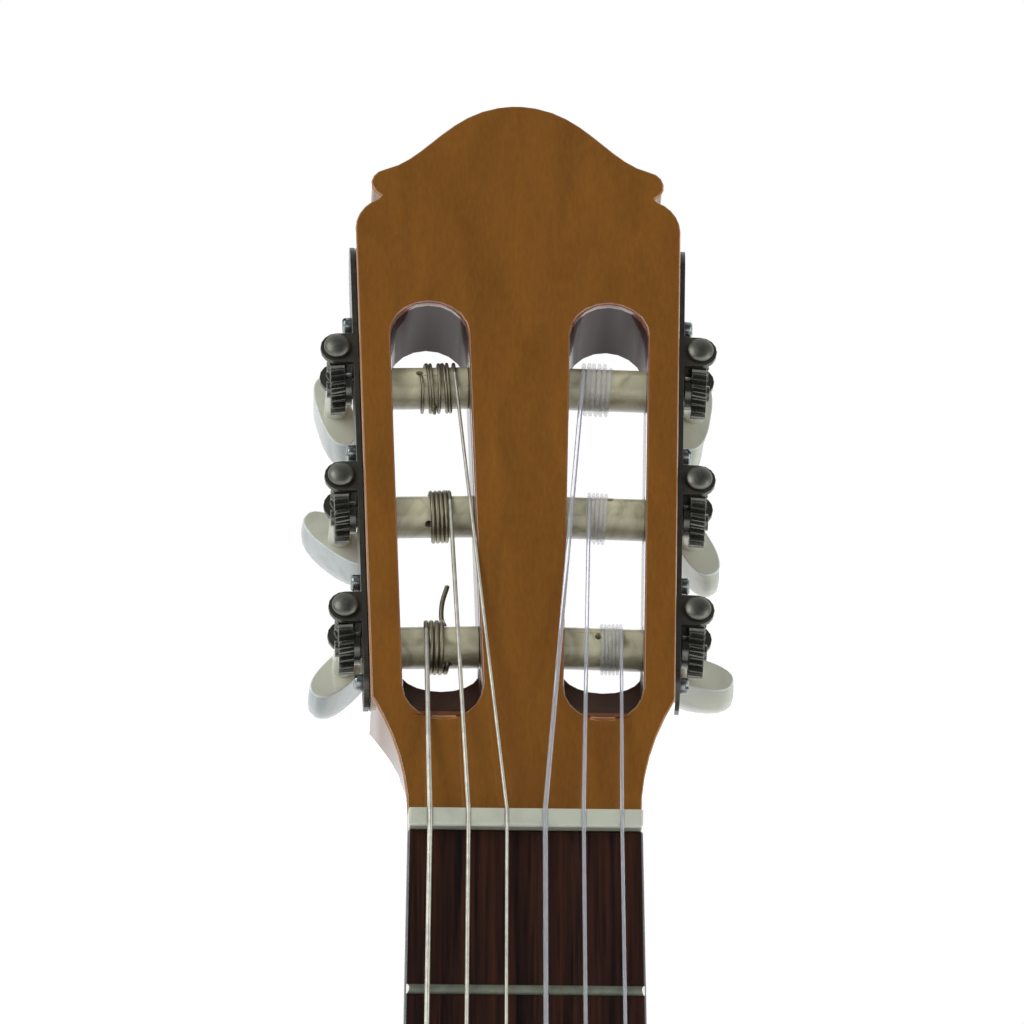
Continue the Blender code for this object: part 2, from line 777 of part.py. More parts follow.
def make_plate(side, row):
    name = row_name(side)
    low, high = sorted((side * GLUE, side * PLATE_OUT))
    plate = flat(f"tuner_plate_{name}", [plate_outline()], low, high, black_metal(), EDGEWISE, row)
    front = ROLLER_DEPTH - PLATE_WIDTH / 2
    ears = []
    for i in range(ROLLERS):
        ears += ear_outline(side, roller_height(i) + WORM_ABOVE)
    for label, depth in (("front", front), ("back", front + PLATE_WIDTH - EAR_T)):
        join(plate, flat(f"{label}_ears_{name}", ears, -depth - EAR_T, -depth, None, UPRIGHT, row))
    screws = []
    for i in range(ROLLERS + 1):
        share = (screw_height(i), PLATE_OUT + (SCREW_HEIGHT - PLATE_T) / 2)
        screws.append(Matrix.Translation((side * share[1], ROLLER_DEPTH, share[0])) @ ALONG_X)
    height = SCREW_HEIGHT + PLATE_T * 0.9
    join(plate, cylinders(f"screws_{name}", screws, SCREW_R, height, 14, None, row))
    holes = [Matrix.Translation((side * p.x, p.y, p.z)) @ ALONG_X for p in roller_places(PLATE_OUT)]
    cut(plate, cylinders(f"hub_holes_{name}", holes, HUB_R + RUNNING, 0.008, 14, None, row))


def screw_height(i):
    """Mounting screws: one at each end and one between each two rollers."""
    if i == 0:
        return SCREW_ENDS[0]
    if i == ROLLERS:
        return SCREW_ENDS[1]
    return (roller_height(i - 1) + roller_height(i)) / 2


def make_roller(side, i, row):
    """A string roller: stub in the web, barrel across the slot, hub through the plate."""
    inner = web_face() + RUNNING
    profile = [
        (0, PLATE_OUT + RUNNING),
        (HUB_R, PLATE_OUT + RUNNING),
        (HUB_R, -GLUE),
        (ROLLER_R, -GLUE),
        (ROLLER_R, inner),
        (STUB_R, inner),
        (STUB_R, inner - STUB_LENGTH),
        (0, inner - STUB_LENGTH),
    ]
    outward = Matrix.Rotation(math.radians(90 * side), 4, "Y")
    place = Matrix.Translation((0, ROLLER_DEPTH, roller_height(i))) @ outward
    return turned(f"roller_{machine_name(side, i)}", profile, 16, cream_plastic(), row, place)


def tooth_widths(pitch, addendum, dedendum):
    """Thickness of a tooth at its tip and at its root."""
    middle = TOOTH_SHARE * pitch
    spread = math.tan(FLANK_ANGLE)
    return middle - 2 * addendum * spread, middle + 2 * dedendum * spread


def gear_ring(side, out, turn):
    """One cross-section of the toothed rim, about the roller's axis."""
    root_r, tip_r = GEAR_PITCH_R - GEAR_DEDENDUM, GEAR_TIP_R
    tip, root = tooth_widths(WORM_LEAD, GEAR_ADDENDUM, GEAR_DEDENDUM)
    ring = []
    for tooth in range(GEAR_TEETH):
        middle = 2 * math.pi * (tooth + 0.5) / GEAR_TEETH + turn
        for radius, width, edge in ((root_r, root, -1), (tip_r, tip, -1), (tip_r, tip, 1), (root_r, root, 1)):
            a = middle + edge * width / (2 * radius)
            ring.append((side * out, -radius * math.sin(a), radius * math.cos(a)))
    return ring


def make_gear(side, i, row):
    """The worm gear, its boss against the plate, and the screw that holds it to the roller."""
    slant = WORM_LEAD / (2 * math.pi * WORM_PITCH_R)
    twist = slant * GEAR_WIDTH / 2 / GEAR_PITCH_R
    name = machine_name(side, i)
    rings = [gear_ring(side, GEAR_IN, -twist), gear_ring(side, GEAR_IN + GEAR_WIDTH, twist)]
    gear = loft(f"gear_{name}", rings, black_metal(), row)
    gear.location = (0, ROLLER_DEPTH, roller_height(i))
    inner = GEAR_IN - BOSS_WIDTH + GLUE
    outer = GEAR_IN + GEAR_WIDTH + GEAR_SCREW_HEIGHT
    middle = GEAR_IN + GEAR_WIDTH / 2
    parts = (("boss", BOSS_R, inner, middle), ("screw", GEAR_SCREW_R, middle, outer))
    for label, radius, start, end in parts:
        place = Matrix.Translation((side * (start + end) / 2, 0, 0)) @ ALONG_X
        part = cylinders(f"gear_{label}_{name}", [place], radius, end - start, 14, None, row)
        part.location = gear.location
        join(gear, part)


def thread_mesh(side):
    """A helical ridge about Z, facing the gear across the worm's local +Y at height 0."""
    tip, root = tooth_widths(WORM_LEAD, WORM_ADDENDUM, WORM_DEDENDUM)
    core = WORM_PITCH_R - WORM_DEDENDUM - 0.0001
    crest = WORM_PITCH_R + WORM_ADDENDUM
    profile = ((core, -root / 2), (crest, -tip / 2), (crest, tip / 2), (core, root / 2))
    per_turn = 9
    count = round(WORM_TURNS * per_turn)
    rings = []
    for step in range(count + 1):
        a = 2 * math.pi * (step - count / 2) / per_turn
        rise = WORM_LEAD * a / (2 * math.pi)
        x, y = -side * math.sin(a), math.cos(a)
        rings.append([(x * radius, y * radius, height + rise) for radius, height in profile])
    return rings


def make_worm(side, i, row):
    """The worm with its shaft, collars and domed front end, which turns in the plate's ears."""
    name = machine_name(side, i)
    ear = EAR_GAP / 2 + EAR_T
    front = ear + RUNNING
    collar_out = EAR_GAP / 2 - RUNNING
    collar_in = collar_out - COLLAR_T
    core = WORM_PITCH_R - WORM_DEDENDUM
    dome = []
    for a in map(math.radians, (90, 50, 0)):
        dome.append((CAP_R * math.sin(a), -front - CAP_HEIGHT * math.cos(a)))
    profile = [
        (0, ear + RUNNING + SHAFT_IN_BUTTON),
        (SHAFT_R, ear + RUNNING + SHAFT_IN_BUTTON),
        (SHAFT_R, collar_out),
        (COLLAR_R, collar_out),
        (COLLAR_R, collar_in),
        (core, collar_in),
        (core, -collar_in),
        (COLLAR_R, -collar_in),
        (COLLAR_R, -collar_out),
        (SHAFT_R, -collar_out),
        (SHAFT_R, -front),
    ] + dome
    place = Matrix.Translation((side * WORM_OUT, ROLLER_DEPTH, roller_height(i) + WORM_ABOVE)) @ ALONG_Y
    worm = turned(f"worm_{name}", profile, 10, steel(), row, place)
    thread = loft(f"thread_{name}", thread_mesh(side), None, row)
    thread.matrix_local = place
    join(worm, thread)


def rounded_ring(half_x, half_y, squareness, z, steps=16):
    """A ring between an ellipse (squareness 2) and a rectangle (larger)."""
    ring = []
    for i in range(steps):
        a = 2 * math.pi * i / steps
        x, y = math.cos(a), math.sin(a)
        power = 2 / squareness
        x, y = math.copysign(abs(x) ** power, x), math.copysign(abs(y) ** power, y)
        ring.append((half_x * x, half_y * y, z))
    return ring


def button_rings():
    """Sections of a button along its shaft: a round neck that widens to a thick paddle."""
    half, thick, neck = BUTTON_WIDTH / 2, BUTTON_T / 2, BUTTON_NECK_R
    sections = (
        (0.00, neck, neck, 2),
        (0.32, neck * 0.9, neck * 0.9, 2),
        (0.42, half * 0.50, max(thick * 0.70, neck), 2.3),
        (0.53, half * 0.76, thick * 0.86, 2.8),
        (0.68, half * 0.95, thick * 0.97, 3.2),
        (0.84, half, thick, 3.4),
        (0.95, half * 0.95, thick * 0.88, 3.2),
        (1.00, half * 0.80, thick * 0.58, 2.8),
    )
    return [rounded_ring(x, y, squareness, BUTTON_LENGTH * along) for along, x, y, squareness in sections]


def make_button(side, i, row):
    name = machine_name(side, i)
    depth = ROLLER_DEPTH + PLATE_WIDTH / 2 + RUNNING
    place = Matrix.Translation((side * WORM_OUT, depth, roller_height(i) + WORM_ABOVE)) @ ALONG_Y
    button = loft(f"button_{name}", button_rings(), pearl_plastic(), row)
    button.matrix_local = place @ Matrix.Rotation(math.radians(BUTTON_TURNS[side][i]), 4, "Z")
    bore = Matrix.Translation((0, 0, (SHAFT_IN_BUTTON - REACH) / 2))
    deep = SHAFT_IN_BUTTON + REACH + 2 * GLUE
    hole = cylinders(f"button_bore_{name}", [bore], SHAFT_R + GLUE, deep, 12, None, row)
    hole.matrix_local = place
    cut(button, hole)


def make_machines(rows):
    for side, row in rows.items():
        make_plate(side, row)
        for i in range(ROLLERS):
            make_roller(side, i, row)
            make_gear(side, i, row)
            make_worm(side, i, row)
            make_button(side, i, row)


# ------------------------------------------------------------------------- body
def body_back(z):
    """Outer face of the back, which slopes from the neck to the tail."""
    return lerp(BODY_DEPTH_NECK, BODY_DEPTH_TAIL, (BODY_TOP - z) / BODY_LENGTH)


def back_inside(z):
    return body_back(z) - BACK_T - GLUE


def half_outline(inset=0.0):
    """Treble half of the body's outline from tail to neck, moved in by inset."""
    upper, waist, lower = UPPER_WIDTH / 2, WAIST_WIDTH / 2, LOWER_WIDTH / 2
    upper_z, waist_z, lower_z = BODY_TOP - UPPER_Z, BODY_TOP - WAIST_Z, BODY_TOP - LOWER_Z
    tail, heel_side = (0, BODY_END), (NECK_BLOCK_HALF + SUNK, BODY_TOP)
    across, along = LOWER_BOUT_HANDLES
    handles = [((lower * across, BODY_END), (lower, lerp(lower_z, BODY_END, along)))]
    first, second = WAIST_HANDLES
    handles.append(((lower, lerp(lower_z, waist_z, first)), (waist, lerp(waist_z, lower_z, second))))
    first, second = UPPER_BOUT_HANDLES
    handles.append(((waist, lerp(waist_z, upper_z, first)), (upper, lerp(waist_z, upper_z, second))))
    along, across = SHOULDER_HANDLES
    handles.append(((upper, lerp(upper_z, BODY_TOP, along)), (upper * across, BODY_TOP)))
    places = [tail, (lower, lower_z), (waist, waist_z), (upper, upper_z), heel_side]
    points = [tail]
    for start, (leave, arrive), end in zip(places, handles, places[1:]):
        points += bezier(start, leave, arrive, end, OUTLINE_STEPS)[1:]
    points.append((0.0, BODY_TOP))
    return [inset_point(points, i, inset) for i in range(len(points))]


def inset_point(points, i, inset):
    """A point of the half outline moved in along its normal."""
    before = points[i - 1] if i else (-points[1][0], points[1][1])
    after = points[i + 1] if i + 1 < len(points) else (-points[i - 1][0], points[i - 1][1])
    along = Vector((after[0] - before[0], after[1] - before[1])).normalized()
    return points[i][0] - along.y * inset, points[i][1] + along.x * inset


def full_outline(inset=0.0):
    half = half_outline(inset)
    return half + [(-x, z) for x, z in reversed(half[1:-1])]


def half_width_at(z, inset):
    """Half the body's width at a height, inside an inset."""
    half = half_outline(inset)
    for (x0, z0), (x1, z1) in zip(half, half[1:]):
        if z0 <= z <= z1:
            return lerp(x0, x1, (z - z0) / (z1 - z0))
    return 0.0


def outline_up_to(reach, inset):
    """The half outline from the tail's centre out to a distance from the centre line."""
    kept = []
    for (x0, z0), (x1, z1) in zip(half_outline(inset), half_outline(inset)[1:]):
        kept.append((x0, z0))
        if x1 >= reach:
            break
    return kept + [(reach, lerp(z0, z1, (reach - x0) / (x1 - x0)))]


def strip(side, outer, inner, keep):
    """A strip of the body's half outline between two insets, over the points that are kept."""
    pairs = [pair for pair in zip(half_outline(outer), half_outline(inner)) if keep(*pair[0])]
    loop = [pair[0] for pair in pairs] + [pair[1] for pair in reversed(pairs)]
    return [(side * x, z) for x, z in loop]


def make_soundboard():
    hole = circle((0, HOLE_Z), HOLE_R, 36)
    top = wood_plate("soundboard", [full_outline(), hole], 0, TOP_T, spruce_wood())
    radii = (ROSETTE_INNER_R, ROSETTE_OUTER_R)
    recess = [circle((0, HOLE_Z), r, 36) for r in (radii[0] - GLUE, radii[1] + GLUE)]
    cut(top, wood_plate("rosette_recess", recess, -REACH, ROSETTE_T + GLUE, None))
    wood_plate("rosette", [circle((0, HOLE_Z), r, 36) for r in radii], 0, ROSETTE_T, rosewood())


def lining_front(z):
    """Inner edge of the linings of the back."""
    return back_inside(z) - LINING_HEIGHT


def make_sides():
    """Two bent sides that meet at the tail and at the heel, with their linings."""
    for side in (-1, 1):
        name = row_name(side)
        outline = [(side * max(abs(x), GLUE), z) for x, z in strip(side, 0, SIDE_T, lambda x, z: True)]
        wood_plate(f"side_{name}", [outline], TOP_T + GLUE, back_inside, cedar_wood())
        start = SIDE_T + GLUE

        def clear_of_blocks(x, z):
            beyond_tail = x > TAIL_BLOCK_HALF + LINING_T or z > BODY_END + BODY_LENGTH / 2
            beyond_neck = x > NECK_BLOCK_HALF + LINING_T or z < BODY_TOP - BODY_LENGTH / 2
            return beyond_tail and beyond_neck

        lining = strip(side, start, start + LINING_T, clear_of_blocks)
        front = TOP_T + GLUE
        wood_plate(f"top_lining_{name}", [lining], front, front + LINING_HEIGHT, cedar_wood())
        wood_plate(f"back_lining_{name}", [lining], lining_front, back_inside, cedar_wood())


def make_blocks():
    """The heel's foot inside the body, the tail block and the heel's cap."""
    top = BODY_TOP - SIDE_T - GLUE
    half = NECK_BLOCK_HALF
    foot = [(-half, top), (half, top), (half, top - NECK_BLOCK_LENGTH), (-half, top - NECK_BLOCK_LENGTH)]
    wood_plate("neck_block", [foot], TOP_T + GLUE, back_inside, cedar_wood())
    edge = outline_up_to(TAIL_BLOCK_HALF, SIDE_T + GLUE)
    inner = edge[0][1] + TAIL_BLOCK_T
    tail = [(-x, z) for x, z in reversed(edge)] + edge[1:]
    tail = [(-TAIL_BLOCK_HALF, inner)] + tail + [(TAIL_BLOCK_HALF, inner)]
    wood_plate("tail_block", [tail], TOP_T + GLUE, back_inside, cedar_wood())
    cap = neck_section(HEEL_HALF_WIDTH, HEEL_LENGTH, HEEL_HALF_WIDTH * 0.97, HEEL_LENGTH * 0.9)
    outline = [(x, BODY_TOP + GLUE + z) for x, z in cap]
    end = body_back(BODY_TOP)
    wood_plate("heel_cap", [outline], end - HEEL_CAP_T, end, rosewood())


def bar_loop(z, width, inset):
    """Outline of a bar across the body that stops at the linings."""
    half = min(half_width_at(z + edge * width / 2, inset) for edge in (-1, 1)) - RUNNING
    return [(-half, z - width / 2), (half, z - width / 2), (half, z + width / 2), (-half, z + width / 2)]


def bar_front(z):
    """Inner edge of a bar across the back."""
    return back_inside(z) - BAR_HEIGHT


def make_braces():
    inset = SIDE_T + GLUE + LINING_T
    front = TOP_T + GLUE
    hole_clear = HOLE_R + BAR_TO_HOLE + BAR_WIDTH / 2
    for name, z in (("upper_top_bar", HOLE_Z + hole_clear), ("lower_top_bar", HOLE_Z - hole_clear)):
        wood_plate(name, [bar_loop(z, BAR_WIDTH, inset)], front, front + BAR_HEIGHT, spruce_wood())
    fan_top = HOLE_Z - hole_clear - BAR_WIDTH / 2 - FAN_TO_BAR
    for i in range(FAN_BRACES):
        step = i - (FAN_BRACES - 1) / 2
        ends = (step * FAN_TOP_PITCH, fan_top), (step * FAN_FOOT_PITCH, BODY_END + FAN_TO_TAIL)
        half = FAN_WIDTH / 2
        loop = [(ends[0][0] - half, ends[0][1]), (ends[0][0] + half, ends[0][1])]
        loop += [(ends[1][0] + half, ends[1][1]), (ends[1][0] - half, ends[1][1])]
        wood_plate(f"fan_brace_{i + 1}", [loop], front, front + FAN_HEIGHT, spruce_wood())
    for number, drop in enumerate(BACK_BARS, 1):
        loop = bar_loop(BODY_TOP - drop, BAR_WIDTH, inset)
        wood_plate(f"back_bar_{number}", [loop], bar_front, back_inside, cedar_wood())


def make_bridge():
    front = -SCALE + BRIDGE_FRONT
    back = front - BRIDGE_WIDTH
    half, block = BRIDGE_LENGTH / 2, BRIDGE_BLOCK / 2
    bridge = box("bridge", (-half, -BRIDGE_WING, back), (half, -GLUE, front), rosewood())
    low, high = (-block, -BRIDGE_HEIGHT, back + SUNK), (block, -BRIDGE_WING / 2, front - SUNK)
    join(bridge, box("tie_block", low, high, None))
    channel = back + TIE_WIDTH
    low, high = (-half, -BRIDGE_HEIGHT - REACH, channel), (half, -BRIDGE_WING - SUNK, channel + CHANNEL_WIDTH)
    cut(bridge, box("channel", low, high, None))
    slot_half, slot_t = SADDLE_LENGTH / 2 + GLUE, SADDLE_T / 2 + GLUE
    floor = -BRIDGE_HEIGHT + SADDLE_DEPTH
    low, high = (-slot_half, -BRIDGE_HEIGHT - REACH, -SCALE - slot_t), (slot_half, floor, -SCALE + slot_t)
    cut(bridge, box("saddle_slot", low, high, None))
    holes = []
    for index in range(len(STRING_DIAMETERS)):
        x = string_share(index, SADDLE_SPAN)
        holes.append(Matrix.Translation((x, -TIE_HOLE_HEIGHT, back + TIE_WIDTH / 2)))
    cut(bridge, cylinders("tie_holes", holes, TIE_HOLE_R, TIE_WIDTH + REACH, 12))
    low = (-SADDLE_LENGTH / 2, -SADDLE_HEIGHT, -SCALE - SADDLE_T / 2)
    high = (SADDLE_LENGTH / 2, floor - GLUE, -SCALE + SADDLE_T / 2)
    box("saddle", low, high, bone())


def make_body():
    make_soundboard()
    wood_plate("back", [full_outline()], lambda z: body_back(z) - BACK_T, body_back, cedar_wood())
    make_sides()
    make_blocks()
    make_braces()
    make_bridge()


def make_frames():
    """Empties that carry the head and each row of machines."""
    head = bpy.data.objects.new("head_frame", None)
    make_collection("classical_guitar").objects.link(head)
    head.matrix_world = head_matrix()
    rows = {}
    for side in (-1, 1):
        row = bpy.data.objects.new(f"{row_name(side)}_row_frame", None)
        make_collection("classical_guitar").objects.link(row)
        row.parent = head
        row.matrix_local = side_matrix(side)
        rows[side] = row
    return head, rows


def main():
    clear_scene()
    head, rows = make_frames()
    side_to_world = {side: head_matrix() @ side_matrix(side) for side in rows}
    make_neck(head, rows)
    make_fingerboard()
    make_nut(side_to_world)
    make_machines(rows)
    make_strings(rows, side_to_world)
    make_body()


main()
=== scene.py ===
"""Classical guitar: the finished look of every piece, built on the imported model.

+Z runs up the neck to the head, -Y is the side of the strings and +X the treble side. The
origin is on the centre line where the nut meets the fingerboard. Lengths are in metres.
"""

import json
import math

import bpy
from bpy.props import FloatProperty, FloatVectorProperty, IntProperty, PointerProperty
from mathutils import Matrix, Vector


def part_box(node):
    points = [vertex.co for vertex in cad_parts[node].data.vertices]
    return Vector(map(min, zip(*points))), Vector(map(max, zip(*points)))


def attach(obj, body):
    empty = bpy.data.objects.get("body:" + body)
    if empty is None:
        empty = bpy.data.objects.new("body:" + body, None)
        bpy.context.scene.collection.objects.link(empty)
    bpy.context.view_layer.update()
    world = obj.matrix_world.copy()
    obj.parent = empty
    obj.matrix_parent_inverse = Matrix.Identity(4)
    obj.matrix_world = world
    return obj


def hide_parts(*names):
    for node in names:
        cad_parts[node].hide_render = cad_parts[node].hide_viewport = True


bl_info = {
    "name": "Classical Guitar",
    "version": (1, 0, 0),
    "blender": (4, 5, 0),
    "location": "View3D > Sidebar > Guitar",
    "description": "Builds the finished pieces of a classical guitar on its packed model",
    "category": "Add Mesh",
}

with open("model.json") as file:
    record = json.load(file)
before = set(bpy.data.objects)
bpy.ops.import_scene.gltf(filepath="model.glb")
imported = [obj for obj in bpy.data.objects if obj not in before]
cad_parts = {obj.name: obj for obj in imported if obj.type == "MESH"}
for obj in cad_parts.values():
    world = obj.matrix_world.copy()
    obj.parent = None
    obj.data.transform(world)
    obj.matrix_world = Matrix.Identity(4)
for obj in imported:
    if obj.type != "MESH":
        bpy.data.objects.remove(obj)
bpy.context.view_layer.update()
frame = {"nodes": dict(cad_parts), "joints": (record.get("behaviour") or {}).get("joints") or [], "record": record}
JOINTS = {joint["name"]: joint for joint in frame["joints"]}

# ------------------------------------------------------------- places of the model
SCALE = 0.650  # open string, nut to saddle
NUT_T = 0.005
NUT_HALF = 0.026
NUT_HEIGHT = 0.0096
NUT_ROUND = 0.0009  # rounding of the nut's front edge over the fingerboard
NUT_SPAN = 0.0424  # outer string to outer string
SADDLE_SPAN = 0.0585
SADDLE_HEIGHT = 0.0124
SADDLE_T = 0.0025
BOARD_T = 0.0065
FRETS = 19
FRET_INSET = 0.0003
HEAD_ANGLE = math.radians(15)
HEAD_T = 0.021
HEAD = Matrix.Translation((0, 0, NUT_T)) @ Matrix.Rotation(-HEAD_ANGLE, 4, "X")  # the head's front face
SIDE_AXIS = 0.0049  # from a gear's middle plane in to the head's side
PLATE_OUT = 0.0013  # outer face of a tuner plate, out from the head's side
ROLLER_R = 0.0048
STUB = 0.00395  # length of a roller's stub in the web
WINDING_R = 0.0051  # inside of the strings' turns
WORM_ABOVE = 0.0071  # worm axis above the roller axis
SLOT_WALLS = (0.0255, 0.1376, 0.0062, 0.0320)  # foot, top, inner and outer reach of a slot
TIE_BACK, TIE_FRONT = -0.670, -0.660
TIE_TOP = 0.0092
TIE_HOLE_HEIGHT = 0.0058
HOLE_Z = -0.4820  # centre of the soundhole
ROSETTE_INNER, ROSETTE_OUTER = 0.047, 0.060
ROSETTE_TILES = 96  # tiles round the rosette
TURN_STEPS = 24  # points on each turn of a string
BODY_TOP, BODY_END = -0.325, -0.812
BACK_NECK, BACK_TAIL = 0.094, 0.100  # outer face of the back at its two ends

# Each string from thickest to thinnest: diameter, distance in from the head's side at which
# it meets its roller, way and number of its turns, and the gap from turn to turn.
STRINGS = {
    6: (0.00115, 0.0131, -1, 3.6, 0.00003),
    5: (0.00098, 0.0196, 1, 4.2, 0.00004),
    4: (0.00078, 0.0218, 1, 5.9, 0.00047),
    3: (0.00112, 0.0217, 1, 5.0, 0.00007),
    2: (0.00092, 0.0199, 1, 4.45, 0.00003),
    1: (0.00082, 0.0121, -1, 5.35, 0.00003),
}

BUTTON_DEPTH = 0.0076  # where the buttons start, behind the rollers' axes
BUTTON_TURNS = {6: -46, 5: 41, 4: 75, 1: 16, 2: 61, 3: -83}  # degrees

# Ends of the strings that stand out of their rollers: millimetres outward from the head's
# side, into the head and up it, from the roller's axis.
LOOSE_ENDS = {
    6: ((-17.8, 0, 3.0), (-17.6, 0, 5.2), (-16.9, 0, 7.6), (-17.2, 0, 11.8), (-18.5, 0.3, 16.4)),
    5: ((-19.2, 0, 3.5), (-19.1, -0.2, 5.2), (-18.7, -0.6, 6.6)),
    4: ((-17.4, 0, -3.5), (-17.3, 0.1, -5.2), (-17.0, 0.4, -6.8)),
}


def linear(red, green, blue):
    """A screen colour of 0 to 255 as the linear colour that a shader takes."""
    shares = (value / 255 for value in (red, green, blue))
    return tuple(v / 12.92 if v <= 0.04045 else ((v + 0.055) / 1.055) ** 2.4 for v in shares)


def length_property(label, meaning, default):
    return FloatProperty(
        name=label, description=meaning, default=default, min=0.0, precision=5, unit="LENGTH"
    )


def colour_property(label, meaning, *default):
    return FloatVectorProperty(
        name=label, description=meaning, default=linear(*default), size=3, min=0.0, max=1.0, subtype="COLOR"
    )


# ------------------------------------------------------------------ sizes and colours
class GuitarSizes(bpy.types.PropertyGroup):
    """Sizes of the finish that a user may change"""

    lacquer_edge: length_property("Lacquer edge", "Rounding of the head's and neck's edges", 0.0006)
    slot_rim: length_property("Slot rim", "Depth of the lacquer that runs over the slots' rims", 0.0018)
    metal_edge: length_property("Metal edge", "Rounding of the edges of the metal parts", 0.00012)
    fret_width: length_property("Fret width", "Width of a fret's crown", 0.0022)
    fret_height: length_property("Fret height", "Height of a fret above the board", 0.001)
    fret_end: FloatProperty(
        name="Fret end", description="Slope of a fret's ends", default=0.6, subtype="ANGLE"
    )
    binding: length_property("Binding", "Width of the binding on the soundboard and the back", 0.0022)
    binding_depth: length_property("Binding depth", "Depth of the binding on the sides", 0.0055)
    purfling: length_property("Purfling", "Width of each purfling line", 0.0009)
    back_strip: length_property("Back strip", "Half width of the strip along the back's middle", 0.0022)
    screw_radius: length_property("Screw radius", "Radius of a mounting screw's head", 0.0019)
    screw_height: length_property("Screw height", "Height of a mounting screw's head", 0.0021)
    plate_edge: length_property("Plate edge", "Rounding of the plates' edges", 0.0003)
    button_length: length_property("Button length", "Length of a tuning button's wide part", 0.0135)
    button_width: length_property("Button width", "Width of a tuning button", 0.0208)
    button_thickness: length_property("Button thickness", "Thickness of a tuning button", 0.0080)
    button_collar: length_property("Button collar", "Length of the collar of a tuning button", 0.0117)
    button_edge: length_property("Button edge", "Rounding of a tuning button's front edge", 0.0004)
    cap_radius: length_property("Cap radius", "Radius of the domed front end of a worm", 0.0031)
    cap_dome: length_property("Cap dome", "Height of the domed front end of a worm", 0.0012)
    string_hole: length_property("String hole", "Radius of the hole through a roller", 0.0008)
    tube_sides: IntProperty(
        name="Tube sides", description="Smoothness of a string round its length", default=3, min=1
    )


class GuitarColours(bpy.types.PropertyGroup):
    """Colours of the finish that a user may change"""

    lacquer: colour_property("Lacquer", "Lighter grain of the lacquered neck", 139, 90, 26)
    lacquer_dark: colour_property("Lacquer, dark", "Darker grain of the lacquered neck", 99, 59, 15)
    # Painted highlight: a paler colour on the head's rounded edges, standing in for the gloss they catch.
    lacquer_edge: colour_property("Lacquer, edge", "Thin lacquer on the head's edges", 172, 118, 70)
    slot_rim: colour_property("Slot rim", "Rounded rims of the slots", 148, 90, 60)
    end_grain: colour_property("End grain", "Stained end grain in the slots", 58, 32, 23)
    # Painted light: the slots' feet get a lighter copy of the end grain, standing in for the light that falls on
    # them.
    slot_foot: colour_property("Slot foot", "Lacquered feet of the slots", 112, 66, 44)
    side_wood: colour_property("Side wood", "Lighter grain of the sides and back", 112, 60, 30)
    side_wood_dark: colour_property("Side wood, dark", "Darker grain of the sides and back", 58, 26, 13)
    spruce: colour_property("Spruce", "Soundboard", 222, 176, 108)
    spruce_dark: colour_property("Spruce, dark", "Growth lines of the soundboard", 184, 130, 68)
    rosewood: colour_property("Rosewood", "Reddish grain of the fingerboard and bridge", 58, 30, 19)
    rosewood_dark: colour_property("Rosewood, dark", "Dark grain of the fingerboard and bridge", 7, 4, 4)
    bare_wood: colour_property("Bare wood", "Unfinished wood inside", 176, 134, 92)
    bone: colour_property("Bone", "Nut and saddle", 186, 190, 174)
    # Painted light: the lower faces of the nut and saddle get a paler bone to make up for the shade that falls on
    # them.
    bone_foot: colour_property("Bone, foot", "Polished lower faces of the nut and saddle", 242, 246, 230)
    roller: colour_property("Roller", "Marbled plastic of the rollers", 202, 198, 168)
    roller_dark: colour_property("Roller, dark", "Veins of the rollers' plastic", 152, 146, 116)
    pearl: colour_property("Pearl", "Tuning buttons", 184, 200, 203)
    pearl_warm: colour_property("Pearl, warm", "Tuning buttons on the treble side", 196, 202, 182)
    pearl_shade: colour_property("Pearl, shade", "Clouds in the tuning buttons", 168, 174, 164)
    # Painted light: a lighter, warmer copy of the pearl for the buttons' front faces.
    pearl_front_painted_light: colour_property("Pearl, front", "Front faces of the tuning buttons", 208, 211, 194)
    # Painted highlight: a near-white line on the rounded front edges of the buttons.
    pearl_ridge: colour_property("Pearl, ridge", "Polished front edges of the buttons", 228, 236, 236)
    plate: colour_property("Plate", "Black nickel of the plates", 80, 79, 72)
    gear: colour_property("Gear", "Worn black nickel of the gears", 104, 104, 98)
    cap: colour_property("Cap", "Dark pewter of the worms", 106, 108, 100)
    zinc: colour_property("Zinc", "Mounting screws", 150, 158, 158)
    fret_metal: colour_property("Fret metal", "Worn nickel silver", 114, 120, 106)
    fret_shine: colour_property("Fret shine", "Polished ends of the frets", 214, 218, 208)
    winding: colour_property("Winding", "Plated wire of the bass strings", 216, 215, 202)
    # Painted shade: a darker copy of the winding for the bass strings where they wrap the rollers.
    winding_worn: colour_property("Winding, worn", "Bass strings round the rollers", 150, 144, 122)
    nylon: colour_property("Nylon", "Treble strings", 218, 220, 226)
    # Painted reflection: a blue-grey line on the fingerboard's rounded edges, standing in for their sheen.
    board_edge: colour_property("Board edge", "Polished edges of the fingerboard", 84, 88, 94)
    white_line: colour_property("White line", "Pale lines of the purfling and rosette", 214, 196, 158)
    black_line: colour_property("Black line", "Dark lines of the purfling and rosette", 24, 18, 16)


